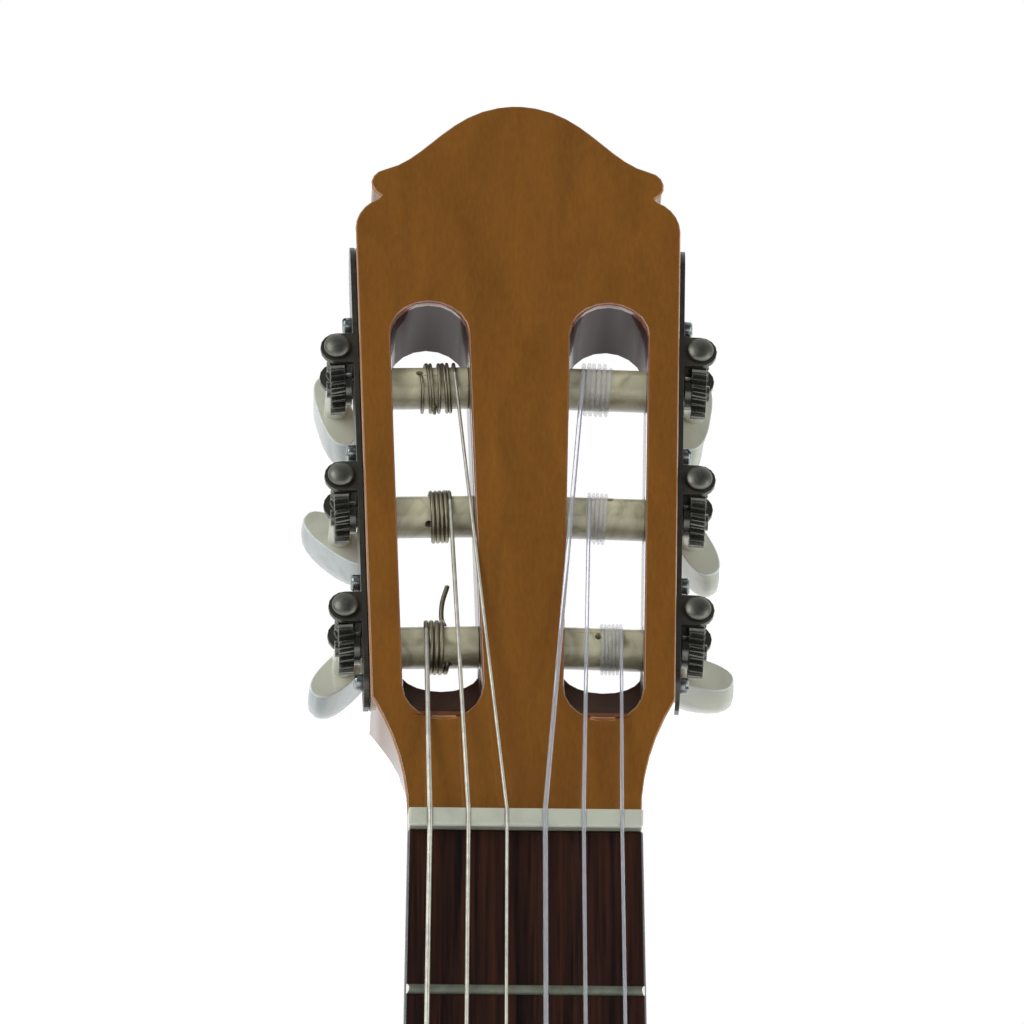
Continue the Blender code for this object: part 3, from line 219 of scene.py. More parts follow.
# ---------------------------------------------------------------------------- shaders
class Shader:
    """A material with one Principled shader and short ways to add nodes to it."""

    def __init__(self, name):
        self.paint = bpy.data.materials.new(name)
        self.paint.use_nodes = True
        self.tree = self.paint.node_tree
        self.main = self.tree.nodes["Principled BSDF"]

    def add(self, kind, inputs=(), **settings):
        """A node whose inputs are given by name or number, as values or as other nodes' outputs."""
        node = self.tree.nodes.new("ShaderNode" + kind)
        for name, value in settings.items():
            setattr(node, name, value)
        for key, value in dict(inputs).items():
            self.feed(node.inputs[key], value)
        return node

    def feed(self, socket, value):
        if isinstance(value, bpy.types.NodeSocket):
            self.tree.links.new(value, socket)
        else:
            socket.default_value = value

    def finish(self, **values):
        """Values of the shader's own sockets, such as Coat_Weight."""
        for name, value in values.items():
            self.feed(self.main.inputs[name.replace("_", " ")], value)
        return self.paint

    def place(self, scale=(1, 1, 1), turn=(0, 0, 0), move=(0, 0, 0)):
        """Object coordinates, moved, turned and stretched."""
        here = self.add("TexCoord").outputs["Object"]
        node = self.add("Mapping", {"Vector": here, "Location": move, "Rotation": turn, "Scale": scale})
        return node.outputs["Vector"]

    def noise(self, vector, scale, detail=3.0, roughness=0.5, distortion=0.0):
        inputs = {"Vector": vector, "Scale": scale, "Detail": detail}
        inputs |= {"Roughness": roughness, "Distortion": distortion}
        return self.add("TexNoise", inputs).outputs["Fac"]

    def sum(self, operation, *values):
        return self.add("Math", dict(enumerate(values)), operation=operation).outputs[0]

    def ramp(self, value, *stops, constant=False):
        node = self.add("ValToRGB", {"Fac": value})
        ramp = node.color_ramp
        ramp.interpolation = "CONSTANT" if constant else "LINEAR"
        while len(ramp.elements) < len(stops):
            ramp.elements.new(0.5)
        for element, (position, colour) in zip(ramp.elements, stops):
            element.position = position
            element.color = (*colour, 1)
        return node.outputs["Color"]

    def range(self, value, low, high):
        """A value of 0 to 1 spread between two others."""
        return self.add("MapRange", {"Value": value, "To Min": low, "To Max": high}).outputs["Result"]

    def bump(self, height, distance, strength=1.0):
        node = self.add("Bump", {"Height": height, "Distance": distance, "Strength": strength})
        return node.outputs["Normal"]


def between(a, b, share):
    return tuple(x + (y - x) * share for x, y in zip(a, b))


def darker(colour, share):
    return between(colour, (0, 0, 0), share)


def wood(name, light, dark, stretch, fibre, figure, contrast, gloss, coat, pores=0.0, turn=(0, 0, 0)):
    """Wood whose fibres run along the axis in which the stretch is small."""
    s = Shader(name)
    where = s.place(scale=stretch, turn=turn)
    fine = s.noise(where, fibre, 4.0, 0.65)
    broad = s.noise(where, figure, 3.0, 0.5, 0.8)
    mixed = s.sum("ADD", s.sum("MULTIPLY", fine, 0.45), s.sum("MULTIPLY", broad, 0.55))
    middle = between(dark, light, 0.5)
    colour = s.ramp(mixed, (0.5 - contrast, dark), (0.5, middle), (0.5 + contrast, light))
    grain = s.noise(where, fibre * 1.7, 2.0)
    if pores:
        pits = s.ramp(s.noise(where, fibre * 0.8, 1.0), (0.34, (0, 0, 0)), (0.42, (1, 1, 1)))
        shade = s.range(pits, 1 - pores, 1.0)
        grey = s.add("CombineColor", {0: shade, 1: shade, 2: shade}).outputs[0]
        mix = s.add("Mix", {0: 1.0, 6: colour, 7: grey})
        mix.data_type, mix.blend_type = "RGBA", "MULTIPLY"
        colour = mix.outputs[2]
        grain = s.sum("ADD", s.sum("MULTIPLY", grain, 0.3), pits)
    depth = 0.00001 if coat else 0.00003
    values = {"Base_Color": colour, "Roughness": s.range(fine, gloss * 0.85, gloss * 1.15)}
    values |= {"Normal": s.bump(grain, depth, 0.5), "Coat_Weight": coat, "Coat_Roughness": 0.04}
    values["Specular_IOR_Level"] = 0.1 if coat else 0.15
    return s.finish(**values)


def metal(name, colour, gloss, speck=900.0, tint=0.35, metallic=1.0):
    """Plated metal with faint cloudy tarnish and fine scratches."""
    s = Shader(name)
    where = s.place()
    cloud = s.noise(where, speck * 0.35, 4.0, 0.6, 0.4)
    tone = s.ramp(cloud, (0.3, darker(colour, tint)), (0.7, colour))
    rough = s.range(s.noise(where, speck, 3.0), gloss * 0.7, gloss * 1.4)
    normal = s.bump(s.noise(where, speck * 2, 2.0), 0.00001, 0.4)
    return s.finish(Base_Color=tone, Roughness=rough, Metallic=metallic, Normal=normal)


def marbled(name, light, dark, scale, gloss, coat, twist=2.5):
    """Cast plastic with soft veins."""
    s = Shader(name)
    where = s.place()
    vein = s.noise(where, scale, 4.0, 0.55, twist)
    tone = s.ramp(vein, (0.32, dark), (0.52, between(dark, light, 0.75)), (0.68, light))
    normal = s.bump(s.noise(where, scale * 8, 2.0), 0.00001, 0.3)
    return s.finish(Base_Color=tone, Roughness=gloss, Normal=normal, Coat_Weight=coat, Coat_Roughness=0.05)


def rosette_paint(colours):
    """Rings of thin lines about a band of small tiles, by distance and angle from the hole's centre."""
    s = Shader("rosette_inlay")
    parts = s.add("SeparateXYZ", {0: s.place(move=(0, 0, -HOLE_Z))}).outputs
    x, z = parts["X"], parts["Z"]
    reach = s.sum("SQRT", s.sum("ADD", s.sum("MULTIPLY", x, x), s.sum("MULTIPLY", z, z)))
    ends = {"From Min": ROSETTE_INNER, "From Max": ROSETTE_OUTER}
    share = s.add("MapRange", {"Value": reach} | ends).outputs["Result"]
    turn = s.sum("MULTIPLY", s.sum("ARCTAN2", x, z), ROSETTE_TILES / (2 * math.pi))
    row = s.sum("FLOOR", s.sum("MULTIPLY", share, 14.0))
    tile = s.sum("PINGPONG", s.sum("ADD", turn, s.sum("MULTIPLY", row, 0.5)), 1.0)
    white, black = tuple(colours.white_line), tuple(colours.black_line)
    red, green = linear(126, 54, 34), linear(84, 96, 62)
    tiles = s.ramp(
        tile, (0.0, black), (0.22, red), (0.46, white), (0.74, green), (0.9, black), constant=True
    )
    lines = s.ramp(
        share, (0.0, black), (0.06, white), (0.11, red), (0.20, white), (0.25, black), (0.75, white),
        (0.80, red), (0.89, white), (0.94, black), constant=True,
    )
    inside = s.sum("MULTIPLY", s.sum("GREATER_THAN", share, 0.29), s.sum("LESS_THAN", share, 0.71))
    mix = s.add("Mix", data_type="RGBA")
    for socket, value in ((0, inside), (6, lines), (7, tiles)):
        s.feed(mix.inputs[socket], value)
    return s.finish(Base_Color=mix.outputs[2], Roughness=0.35, Coat_Weight=0.8, Coat_Roughness=0.05)


def kerfed_paint(colours):
    """Bare lining with a saw cut every few millimetres."""
    s = Shader("kerfed_lining")
    where = s.place()
    inputs = {"Vector": where, "Scale": 26.0, "Distortion": 0.6}
    cut = s.add("TexWave", inputs, bands_direction="Z").outputs["Fac"]
    bare = tuple(colours.bare_wood)
    tone = s.ramp(cut, (0.06, darker(bare, 0.75)), (0.14, bare))
    return s.finish(Base_Color=tone, Roughness=0.7, Normal=s.bump(cut, 0.0008, 0.4))


def string_paint(name, colour, wound, clear=0.0, cover=1.0):
    """Silver-plated winding with a fine thread, or clear nylon."""
    s = Shader(name)
    where = s.place()
    if wound:
        thread = s.add("TexWave", {"Vector": where, "Scale": 1000.0}, bands_direction="Z").outputs["Fac"]
        tone = s.ramp(s.noise(where, 400.0), (0.3, darker(colour, 0.3)), (0.7, colour))
        return s.finish(Base_Color=tone, Metallic=0.85, Roughness=0.4, Normal=s.bump(thread, 0.00004, 0.5))
    tone = s.ramp(s.noise(where, 120.0), (0.3, darker(colour, 0.06)), (0.7, colour))
    return s.finish(Base_Color=tone, Roughness=0.07, Transmission_Weight=clear, IOR=1.35, Alpha=cover)


def make_paints(scene):
    """Every finish, by its name."""
    c = scene.guitar_colours
    up, flat_grain = (1, 1, 0.025), (0.02, 1, 0.02)
    tone = {name: tuple(getattr(c, name)) for name in GuitarColours.__annotations__}
    return {
        "lacquer": wood(
            "amber_lacquer", tone["lacquer"], tone["lacquer_dark"], up, 1400, 120, 0.32, 0.34, 1.0
        ),
        # Painted highlight for the head's rounded edges.
        "lacquer_edge": marbled(
            "lacquer_edge", tone["lacquer_edge"], between(tone["lacquer_edge"], tone["lacquer"], 0.6),
            260, 0.35, 0.3,
        ),
        "slot_rim": marbled(
            "slot_rim", tone["slot_rim"], darker(tone["slot_rim"], 0.4), 320, 0.25, 1.0
        ),
        # Painted light: a lighter copy of the end grain for the slots' feet.
        "slot_foot": wood(
            "slot_foot", tone["slot_foot"], darker(tone["slot_foot"], 0.4), (1, 1, 0.6),
            900, 240, 0.25, 0.45, 0.25,
        ),
        "end_grain": wood(
            "stained_end_grain", tone["end_grain"], darker(tone["end_grain"], 0.5), (1, 1, 0.6),
            900, 240, 0.25, 0.45, 0.25,
        ),
        "sides": wood(
            "side_wood", tone["side_wood"], tone["side_wood_dark"], flat_grain, 900, 110, 0.22, 0.3, 1.0
        ),
        "back": wood("back_wood", tone["side_wood"], tone["side_wood_dark"], up, 700, 60, 0.22, 0.3, 1.0),
        "spruce": wood(
            "spruce", tone["spruce"], tone["spruce_dark"], (1, 1, 0.006), 700, 90, 0.2, 0.4, 0.8
        ),
        "bare_spruce": wood(
            "bare_spruce", tone["spruce"], tone["spruce_dark"], (1, 1, 0.02), 700, 90, 0.2, 0.6, 0.0
        ),
        "rosewood": wood(
            "rosewood", tone["rosewood"], tone["rosewood_dark"], (1, 1, 0.03),
            1300, 330, 0.13, 0.42, 0.0, 0.45,
        ),
        "cross_rosewood": wood(
            "bridge_rosewood", tone["rosewood"], tone["rosewood_dark"], (0.03, 1, 1),
            1300, 330, 0.2, 0.42, 0.0, 0.45,
        ),
        "bare_wood": wood(
            "bare_cedar", tone["bare_wood"], darker(tone["bare_wood"], 0.35), up,
            800, 120, 0.25, 0.7, 0.0,
        ),
        "kerfed": kerfed_paint(c),
        # Painted light: paler bone for the shaded lower faces.
        "bone_foot": marbled(
            "bone_foot", tone["bone_foot"], darker(tone["bone_foot"], 0.08), 160, 0.3, 0.3, 0.6
        ),
        "bone": marbled("bone", tone["bone"], darker(tone["bone"], 0.14), 160, 0.3, 0.3, 0.6),
        "roller": marbled("marbled_roller", tone["roller"], tone["roller_dark"], 90, 0.3, 0.35, 2.2),
        "pearl": marbled("pearl_button", tone["pearl"], tone["pearl_shade"], 55, 0.22, 0.6, 1.6),
        "pearl_warm": marbled(
            "warm_pearl_button", tone["pearl_warm"], tone["pearl_shade"], 55, 0.22, 0.6, 1.6
        ),
        # Painted highlight for the buttons' front edges.
        "pearl_ridge": marbled("pearl_ridge", tone["pearl_ridge"], tone["pearl"], 55, 0.2, 0.8, 1.6),
        # Painted light: lighter copy of the pearl for the front faces.
        "pearl_front_painted_light": marbled(
            "pearl_button_front", tone["pearl_front_painted_light"], darker(tone["pearl_front_painted_light"], 0.15),
            70, 0.25, 0.6, 1.6,
        ),
        "plate": metal("black_nickel", tone["plate"], 0.3, metallic=0.55),
        "gear": metal("dark_gear", tone["gear"], 0.24, metallic=0.8),
        "cap": metal("dark_pewter", tone["cap"], 0.38, tint=0.2),
        "zinc": metal("zinc_screw", tone["zinc"], 0.3),
        "fret": metal("nickel_silver", tone["fret_metal"], 0.55, metallic=0.6),
        "fret_shine": metal("polished_fret_end", tone["fret_shine"], 0.3, metallic=0.7),
        # Painted reflection for the fingerboard's edges.
        "board_edge": marbled(
            "board_edge", tone["board_edge"], darker(tone["board_edge"], 0.3), 300, 0.25, 0.5
        ),
        "binding": wood(
            "binding", tone["rosewood"], tone["rosewood_dark"], flat_grain, 900, 150, 0.2, 0.3, 1.0
        ),
        "white_line": marbled(
            "pale_line", tone["white_line"], darker(tone["white_line"], 0.2), 300, 0.3, 0.8
        ),
        "black_line": marbled(
            "dark_line", tone["black_line"], darker(tone["black_line"], 0.3), 300, 0.3, 0.8
        ),
        "rosette": rosette_paint(c),
        "wound": string_paint("wound_string", tone["winding"], True),
        # Painted shade: darker winding for the turns round the rollers.
        "worn": string_paint("worn_winding", tone["winding_worn"], True),
        "nylon": string_paint("nylon_string", tone["nylon"], False, 0.68),
        "clear": string_paint("clear_nylon", tone["nylon"], False, 0.0, 0.24),
    }


# -------------------------------------------------------------------- modelling by hand
PAINTS = {}


def leave_edit():
    if bpy.context.object and bpy.context.object.mode != "OBJECT":
        bpy.ops.object.mode_set(mode="OBJECT")


def deselect():
    """Leaves edit mode with nothing selected."""
    leave_edit()
    bpy.ops.object.select_all(action="DESELECT")


def choose(piece):
    """Makes a piece the only one selected."""
    deselect()
    piece.select_set(True)
    bpy.context.view_layer.objects.active = piece


def edit(piece, mode="FACE"):
    """Opens a piece in edit mode with nothing of it selected."""
    choose(piece)
    bpy.ops.object.mode_set(mode="EDIT")
    bpy.ops.mesh.select_mode(type=mode)
    bpy.ops.mesh.select_all(action="DESELECT")


def edit_all(piece):
    """Opens a piece in edit mode with all of it selected."""
    edit(piece)
    bpy.ops.mesh.select_all(action="SELECT")


def clean(piece, reach):
    """Merges the points of a piece that lie within reach, and turns its faces outward."""
    edit_all(piece)
    bpy.ops.mesh.remove_doubles(threshold=reach)
    bpy.ops.mesh.normals_make_consistent(inside=False)
    leave_edit()


def pick_faces(piece, test):
    """Selects the faces whose centre and normal pass a test, and stays in edit mode."""
    edit(piece)
    bpy.ops.object.mode_set(mode="OBJECT")
    for face in piece.data.polygons:
        face.select = bool(test(face.center, face.normal))
    bpy.ops.object.mode_set(mode="EDIT")


def cad_copy(node, name):
    """A copy of a CAD node with its points merged and its flat faces made whole."""
    mesh = frame["nodes"][node].data.copy()
    mesh.materials.clear()
    piece = bpy.data.objects.new(name, mesh)
    bpy.context.scene.collection.objects.link(piece)
    edit(piece)
    bpy.ops.mesh.customdata_custom_splitnormals_clear()
    bpy.ops.mesh.select_all(action="SELECT")
    bpy.ops.mesh.remove_doubles(threshold=0.000004)
    bpy.ops.mesh.dissolve_limited(angle_limit=math.radians(0.4))
    leave_edit()
    return piece


def modify(piece, kind, **settings):
    """Adds a modifier and applies it."""
    choose(piece)
    modifier = piece.modifiers.new(kind.title(), kind)
    for name, value in settings.items():
        setattr(modifier, name, value)
    bpy.ops.object.modifier_apply(modifier=modifier.name)


def carve(piece, tool):
    """Cuts a tool's shape out of a piece, and removes the tool."""
    modify(piece, "BOOLEAN", operation="DIFFERENCE", solver="EXACT", object=tool)
    bpy.data.objects.remove(tool)


def soften(piece, width, segments=2, angle=32, clamp=False):
    """Rounds a piece's edges."""
    settings = {"width": width, "segments": segments, "use_clamp_overlap": clamp, "loop_slide": False}
    modify(piece, "BEVEL", limit_method="ANGLE", angle_limit=math.radians(angle), **settings)


def shade(piece, angle=35, weighted=True):
    """Smooth shading that keeps flat faces flat."""
    choose(piece)
    bpy.ops.object.shade_smooth_by_angle(angle=math.radians(angle))
    if weighted:
        modify(piece, "WEIGHTED_NORMAL", keep_sharp=True, weight=80)


def settle(piece):
    """Puts a piece's place into its mesh."""
    choose(piece)
    bpy.ops.object.transform_apply(location=True, rotation=True, scale=True)
    edit_all(piece)
    bpy.ops.mesh.normals_make_consistent(inside=False)
    leave_edit()


def paint(piece, *names):
    """Gives a piece its finishes; all its faces start with the first."""
    piece.data.materials.clear()
    for name in names:
        piece.data.materials.append(PAINTS[name])


def paint_where(piece, number, test):
    """Gives the faces that pass a test another of the piece's finishes."""
    for face in piece.data.polygons:
        if test(face.center, face.normal):
            face.material_index = number


def split(piece, point, normal, clear_outer=False, fill=False):
    """Cuts a piece's faces along a plane, and takes away what lies beyond it if asked."""
    edit_all(piece)
    bpy.ops.mesh.bisect(
        plane_co=point, plane_no=normal, clear_outer=clear_outer, use_fill=fill, threshold=1e-6
    )
    leave_edit()


def mount(piece, body, slot, *nodes):
    """Fixes a finished piece to its body in place of CAD nodes."""
    leave_edit()
    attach(piece, body)
    if nodes:
        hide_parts(*nodes)


def take(name):
    """Names the primitive that was just added."""
    piece = bpy.context.object
    piece.name = name
    piece.data.name = name
    return piece


def unite(name, pieces):
    """Joins like pieces into one object."""
    deselect()
    for piece in pieces:
        piece.select_set(True)
    bpy.context.view_layer.objects.active = pieces[0]
    bpy.ops.object.join()
    return take(name)


def machine(number):
    """Frame of one tuning machine: origin on the roller's axis at the head's side, x to the
    treble side, y into the head and z up it; and the side, -1 bass or 1 treble."""
    side = -1 if number > 3 else 1
    roller, button = JOINTS[f"tuner_{number}_roller"], JOINTS[f"tuner_{number}_button"]
    across, inward = Vector(roller["axis"]) * side, Vector(button["axis"])
    place = Matrix((across, inward, across.cross(inward))).transposed().to_4x4()
    place.translation = Vector(roller["pos_m"]) - across * side * SIDE_AXIS
    return place, side


def tube(name, points, radius, finish, sides):
    """A round wire along points, as a mesh."""
    curve = bpy.data.curves.new(name, "CURVE")
    curve.dimensions = "3D"
    curve.bevel_depth = radius
    curve.bevel_resolution = sides
    curve.use_fill_caps = True
    spline = curve.splines.new("POLY")
    spline.points.add(len(points) - 1)
    for target, point in zip(spline.points, points):
        target.co = (*point, 1)
    piece = bpy.data.objects.new(name, curve)
    bpy.context.scene.collection.objects.link(piece)
    choose(piece)
    bpy.ops.object.convert(target="MESH")
    piece = take(name)
    clean(piece, 0.000001)
    shade(piece, 50, weighted=False)
    paint(piece, finish)
    return piece


def flowing(points, steps=6):
    """A smooth path through points."""
    ends = [points[0] * 2 - points[1], *points, points[-1] * 2 - points[-2]]
    path = []
    for a, b, c, d in zip(ends, ends[1:], ends[2:], ends[3:]):
        for i in range(steps):
            t = i / steps
            bend = (2 * a - 5 * b + 4 * c - d) * t * t + (3 * b - 3 * c + d - a) * t**3
            path.append((2 * b + (c - a) * t + bend) / 2)
    return [*path, points[-1]]


def body_back(z):
    """Outer face of the back."""
    return BACK_NECK + (BACK_TAIL - BACK_NECK) * (BODY_TOP - z) / (BODY_TOP - BODY_END)


def in_head(point):
    """A point in the head's frame: across, into the wood, up the face."""
    return HEAD.inverted() @ Vector(point)


# ------------------------------------------------------------------------- wooden pieces
class GUITAR_OT_neck(bpy.types.Operator):
    """Lacquered neck and slotted head with rounded edges"""

    bl_idname = "guitar.neck"
    bl_label = "Neck and head"

    def execute(self, context):
        piece = cad_copy("neck", "lacquered_neck")
        soften(piece, context.scene.guitar_sizes.lacquer_edge, 3, 35)
        shade(piece)
        paint(piece, "lacquer", "end_grain", "slot_rim", "lacquer_edge", "slot_foot")
        foot, top, inner, outer = SLOT_WALLS

        def round_slot(centre):
            x, _, height = in_head(centre)
            return foot - 0.0008 < height < top + 0.0008 and inner - 0.0008 < abs(x) < outer + 0.0008

        def in_slot(centre, normal):
            x, depth, height = in_head(centre)
            facing = in_head(centre + normal) - in_head(centre)
            half = (outer - inner) / 2
            across = math.copysign(inner + half, x) - x
            along = min(max(height, foot + half), top - half) - height
            inward = across * facing.x + along * facing.z > 0
            return round_slot(centre) and inward and abs(facing.y) < 0.9 and depth < HEAD_T - 0.0003

        def on_edge(centre, normal):
            facing = in_head(centre + normal) - in_head(centre)
            return centre.z > 0.004 and -0.96 < facing.y < -0.12 and in_head(centre).y < 0.0009

        rim = context.scene.guitar_sizes.slot_rim
        pick_faces(piece, in_slot)
        inward = HEAD.to_3x3() @ Vector((0, 1, 0))
        bpy.ops.mesh.bisect(plane_co=HEAD @ Vector((0, rim, 0)), plane_no=inward, threshold=1e-6)
        leave_edit()

        def on_rim(centre, normal):
            _, depth, height = in_head(centre)
            near = round_slot(centre) and height > foot + 0.004 and depth < rim
            return near and (on_edge(centre, normal) or in_slot(centre, normal))

        paint_where(piece, 1, in_slot)
        # Painted light: the lower part of each slot takes the lighter copy of the end grain.
        paint_where(piece, 4, lambda at, way: in_slot(at, way) and in_head(at).z < foot + 0.009)
        # Painted highlight: the rounded front edges of the head take the paler edge colour.
        paint_where(piece, 3, on_edge)
        paint_where(piece, 2, on_rim)
        mount(piece, "guitar", "lacquered_wood", "neck")
        return {"FINISHED"}


class GUITAR_OT_fingerboard(bpy.types.Operator):
    """Rosewood fingerboard, cut free of its frets"""

    bl_idname = "guitar.fingerboard"
    bl_label = "Fingerboard"

    def execute(self, context):
        piece = cad_copy("fingerboard", "rosewood_fingerboard")
        split(piece, (0, -BOARD_T + 0.00002, 0), (0, -1, 0), clear_outer=True, fill=True)
        edit_all(piece)
        bpy.ops.mesh.dissolve_limited(angle_limit=math.radians(0.4))
        leave_edit()
        soften(piece, 0.0005, 3)
        shade(piece)
        paint(piece, "rosewood", "board_edge")
        # Painted reflection: the bevelled side edges of the board take the blue-grey sheen colour.
        paint_where(piece, 1, lambda centre, normal: abs(normal.x) > 0.2 and normal.y < -0.2)
        mount(piece, "guitar", "rosewood", "fingerboard")
        return {"FINISHED"}


class GUITAR_OT_frets(bpy.types.Operator):
    """Domed frets with their ends dressed at a slope"""

    bl_idname = "guitar.frets"
    bl_label = "Frets"

    def execute(self, context):
        sizes = context.scene.guitar_sizes
        low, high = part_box("fingerboard")
        taper = (high.x - NUT_HALF) / (high.z - low.z)
        frets = []
        for number in range(1, FRETS + 1):
            z = -SCALE * (1 - 2 ** (-number / 12))
            half = NUT_HALF - z * taper - FRET_INSET
            deselect()
            bpy.ops.mesh.primitive_cylinder_add(
                vertices=32, radius=1, depth=2 * half,
                location=(0, -BOARD_T, z), rotation=(0, math.pi / 2, 0),
            )
            fret = take(f"fret_{number}")
            fret.scale = (sizes.fret_width / 2, sizes.fret_height, 1)
            settle(fret)
            split(fret, (0, -BOARD_T + 0.0001, 0), (0, 1, 0), clear_outer=True, fill=True)
            for side in (-1, 1):
                slope = (side * math.cos(sizes.fret_end), -math.sin(sizes.fret_end), 0)
                split(fret, (side * half, -BOARD_T, 0), slope, clear_outer=True, fill=True)
            soften(fret, 0.0001, 2, 40)
            frets.append(fret)
        piece = unite("nickel_silver_frets", frets)
        shade(piece)
        paint(piece, "fret", "fret_shine")
        paint_where(piece, 1, lambda centre, normal: abs(normal.x) > 0.3)
        mount(piece, "guitar", "rosewood")
        return {"FINISHED"}


class GUITAR_OT_nut_and_saddle(bpy.types.Operator):
    """Bone nut and saddle"""

    bl_idname = "guitar.nut_and_saddle"
    bl_label = "Nut and saddle"

    def execute(self, context):
        for node, width in (("nut", 0.0006), ("saddle", 0.0008)):
            piece = cad_copy(node, f"bone_{node}")
            if node == "nut":
                split(piece, (0, 0, NUT_T), (0, -0.09, 0.996), clear_outer=True, fill=True)
                for angle in (22.5, 45, 67.5):
                    out = Vector((0, -math.cos(math.radians(angle)), -math.sin(math.radians(angle))))
                    middle = Vector((0, NUT_ROUND - NUT_HEIGHT, NUT_ROUND))
                    split(piece, middle + out * NUT_ROUND, out, clear_outer=True, fill=True)
            soften(piece, width, 3, 40, clamp=True)
            shade(piece)
            paint(piece, "bone", "bone_foot")
            # Painted light: the downward faces of the nut and saddle take the paler bone.
            paint_where(piece, 1, lambda centre, normal: normal.z < -0.6 and centre.y < -BOARD_T)
            mount(piece, "guitar", "ivory_plastic", node)
        return {"FINISHED"}


def edge_lines(piece, context, facing, keep):
    """Insets a plate's broad face into a binding and two purfling lines."""
    sizes = context.scene.guitar_sizes
    pick_faces(piece, lambda centre, normal: normal.dot(facing) > 0.98)
    for number, width in ((1, sizes.binding), (2, sizes.purfling), (3, sizes.purfling)):
        bpy.ops.object.mode_set(mode="OBJECT")
        for face in piece.data.polygons:
            if face.select:
                face.material_index = number
        bpy.ops.object.mode_set(mode="EDIT")
        bpy.ops.mesh.inset(thickness=width, use_boundary=True, use_even_offset=True)
    bpy.ops.object.mode_set(mode="OBJECT")
    for face in piece.data.polygons:
        if face.select or keep(face.center):
            face.material_index = 0
        elif abs(face.normal.dot(facing)) < 0.5:
            face.material_index = 1


class GUITAR_OT_soundboard(bpy.types.Operator):
    """Spruce soundboard with its binding and purfling"""

    bl_idname = "guitar.soundboard"
    bl_label = "Soundboard"

    def execute(self, context):
        piece = cad_copy("soundboard", "spruce_soundboard")
        paint(piece, "spruce", "binding", "white_line", "black_line")
        hole = Vector((0, 0, HOLE_Z))
        edge_lines(piece, context, Vector((0, -1, 0)), lambda centre: (centre - hole).length < 0.075)
        soften(piece, 0.0003, 2, 50)
        shade(piece)
        mount(piece, "guitar", "spruce", "soundboard")
        return {"FINISHED"}


class GUITAR_OT_rosette(bpy.types.Operator):
    """Inlaid rosette"""

    bl_idname = "guitar.rosette"
    bl_label = "Rosette"

    def execute(self, context):
        piece = cad_copy("rosette", "inlaid_rosette")
        shade(piece)
        paint(piece, "rosette")
        mount(piece, "guitar", "rosewood", "rosette")
        return {"FINISHED"}


class GUITAR_OT_back(bpy.types.Operator):
    """Two-piece back with a strip along its middle"""

    bl_idname = "guitar.back"
    bl_label = "Back"

    def execute(self, context):
        half = context.scene.guitar_sizes.back_strip
        piece = cad_copy("back", "bookmatched_back")
        paint(piece, "back", "binding", "white_line", "black_line")
        edge_lines(piece, context, Vector((0, 1, 0)), lambda centre: False)
        for x in (-1.6 * half, -half, half, 1.6 * half):
            split(piece, (x, 0, 0), (1, 0, 0))

        def in_middle(reach):
            return lambda centre, normal: abs(centre.x) < reach and normal.y > 0.9 and inside(centre)

        def inside(centre):
            return BODY_END + 0.004 < centre.z < BODY_TOP - 0.004

        paint_where(piece, 2, in_middle(1.6 * half))
        paint_where(piece, 1, in_middle(half))
        soften(piece, 0.0003, 2, 50)
        shade(piece)
        mount(piece, "guitar", "lacquered_wood", "back")
        return {"FINISHED"}


class GUITAR_OT_sides(bpy.types.Operator):
    """Bent sides with their bindings"""

    bl_idname = "guitar.sides"
    bl_label = "Sides"

    def execute(self, context):
        sizes = context.scene.guitar_sizes
        slope = (BACK_TAIL - BACK_NECK) / (BODY_TOP - BODY_END)
        for name in ("bass", "treble"):
            piece = cad_copy(f"side_{name}", f"bent_side_{name}")
            paint(piece, "sides", "binding", "white_line")
            for depth in (sizes.binding_depth, sizes.binding_depth + sizes.purfling):
                split(piece, (0, depth, 0), (0, 1, 0))
                split(piece, (0, body_back(BODY_TOP) - depth, BODY_TOP), (0, 1, slope))

            def from_edge(centre):
                return min(centre.y, body_back(centre.z) - centre.y)

            reach = sizes.binding_depth
            paint_where(piece, 2, lambda centre, normal: from_edge(centre) < reach + sizes.purfling)
            paint_where(piece, 1, lambda centre, normal: from_edge(centre) < reach)
            shade(piece, 30)
            mount(piece, "guitar", "lacquered_wood", f"side_{name}")
        return {"FINISHED"}


class GUITAR_OT_bridge(bpy.types.Operator):
    """Rosewood bridge with lines of inlay on its tie block"""

    bl_idname = "guitar.bridge"
    bl_label = "Bridge"

    def execute(self, context):
        piece = cad_copy("bridge", "rosewood_bridge")
        soften(piece, 0.0004, 3, 50, clamp=True)
        for z in (TIE_BACK + 0.0018, TIE_FRONT - 0.0018):
            split(piece, (0, 0, z), (0, 0, 1))
        shade(piece)
        paint(piece, "cross_rosewood", "white_line")
        middle = (TIE_BACK + TIE_FRONT) / 2
        half = (TIE_FRONT - TIE_BACK) / 2

        def inlaid(centre, normal):
            top = centre.y < -TIE_TOP + 0.0001 and normal.y < -0.95
            return top and half - 0.0019 < abs(centre.z - middle) < half

        paint_where(piece, 1, inlaid)
        mount(piece, "guitar", "rosewood", "bridge")
        return {"FINISHED"}


class GUITAR_OT_woodwork(bpy.types.Operator):
    """Blocks, linings, bars and braces inside the body, and the heel's cap"""

    bl_idname = "guitar.woodwork"
    bl_label = "Inside woodwork"

    def execute(self, context):
        kinds = {"lining": "kerfed", "brace": "bare_spruce", "top_bar": "bare_spruce"}
        kinds["heel_cap"] = "cross_rosewood"
        kinds |= {"block": "bare_wood", "back_bar": "bare_wood"}
        slots = {row["node"]: row["material_slot"] for row in frame["record"]["subparts"]}
        for node in sorted(frame["nodes"]):
            finish = next((kinds[kind] for kind in kinds if kind in node), None)
            if finish:
                piece = cad_copy(node, f"finished_{node}")
                soften(piece, 0.001 if "ra" in finish else 0.0004, 3, 50)
                shade(piece)
                paint(piece, finish)
                mount(piece, "guitar", slots[node], node)
        return {"FINISHED"}


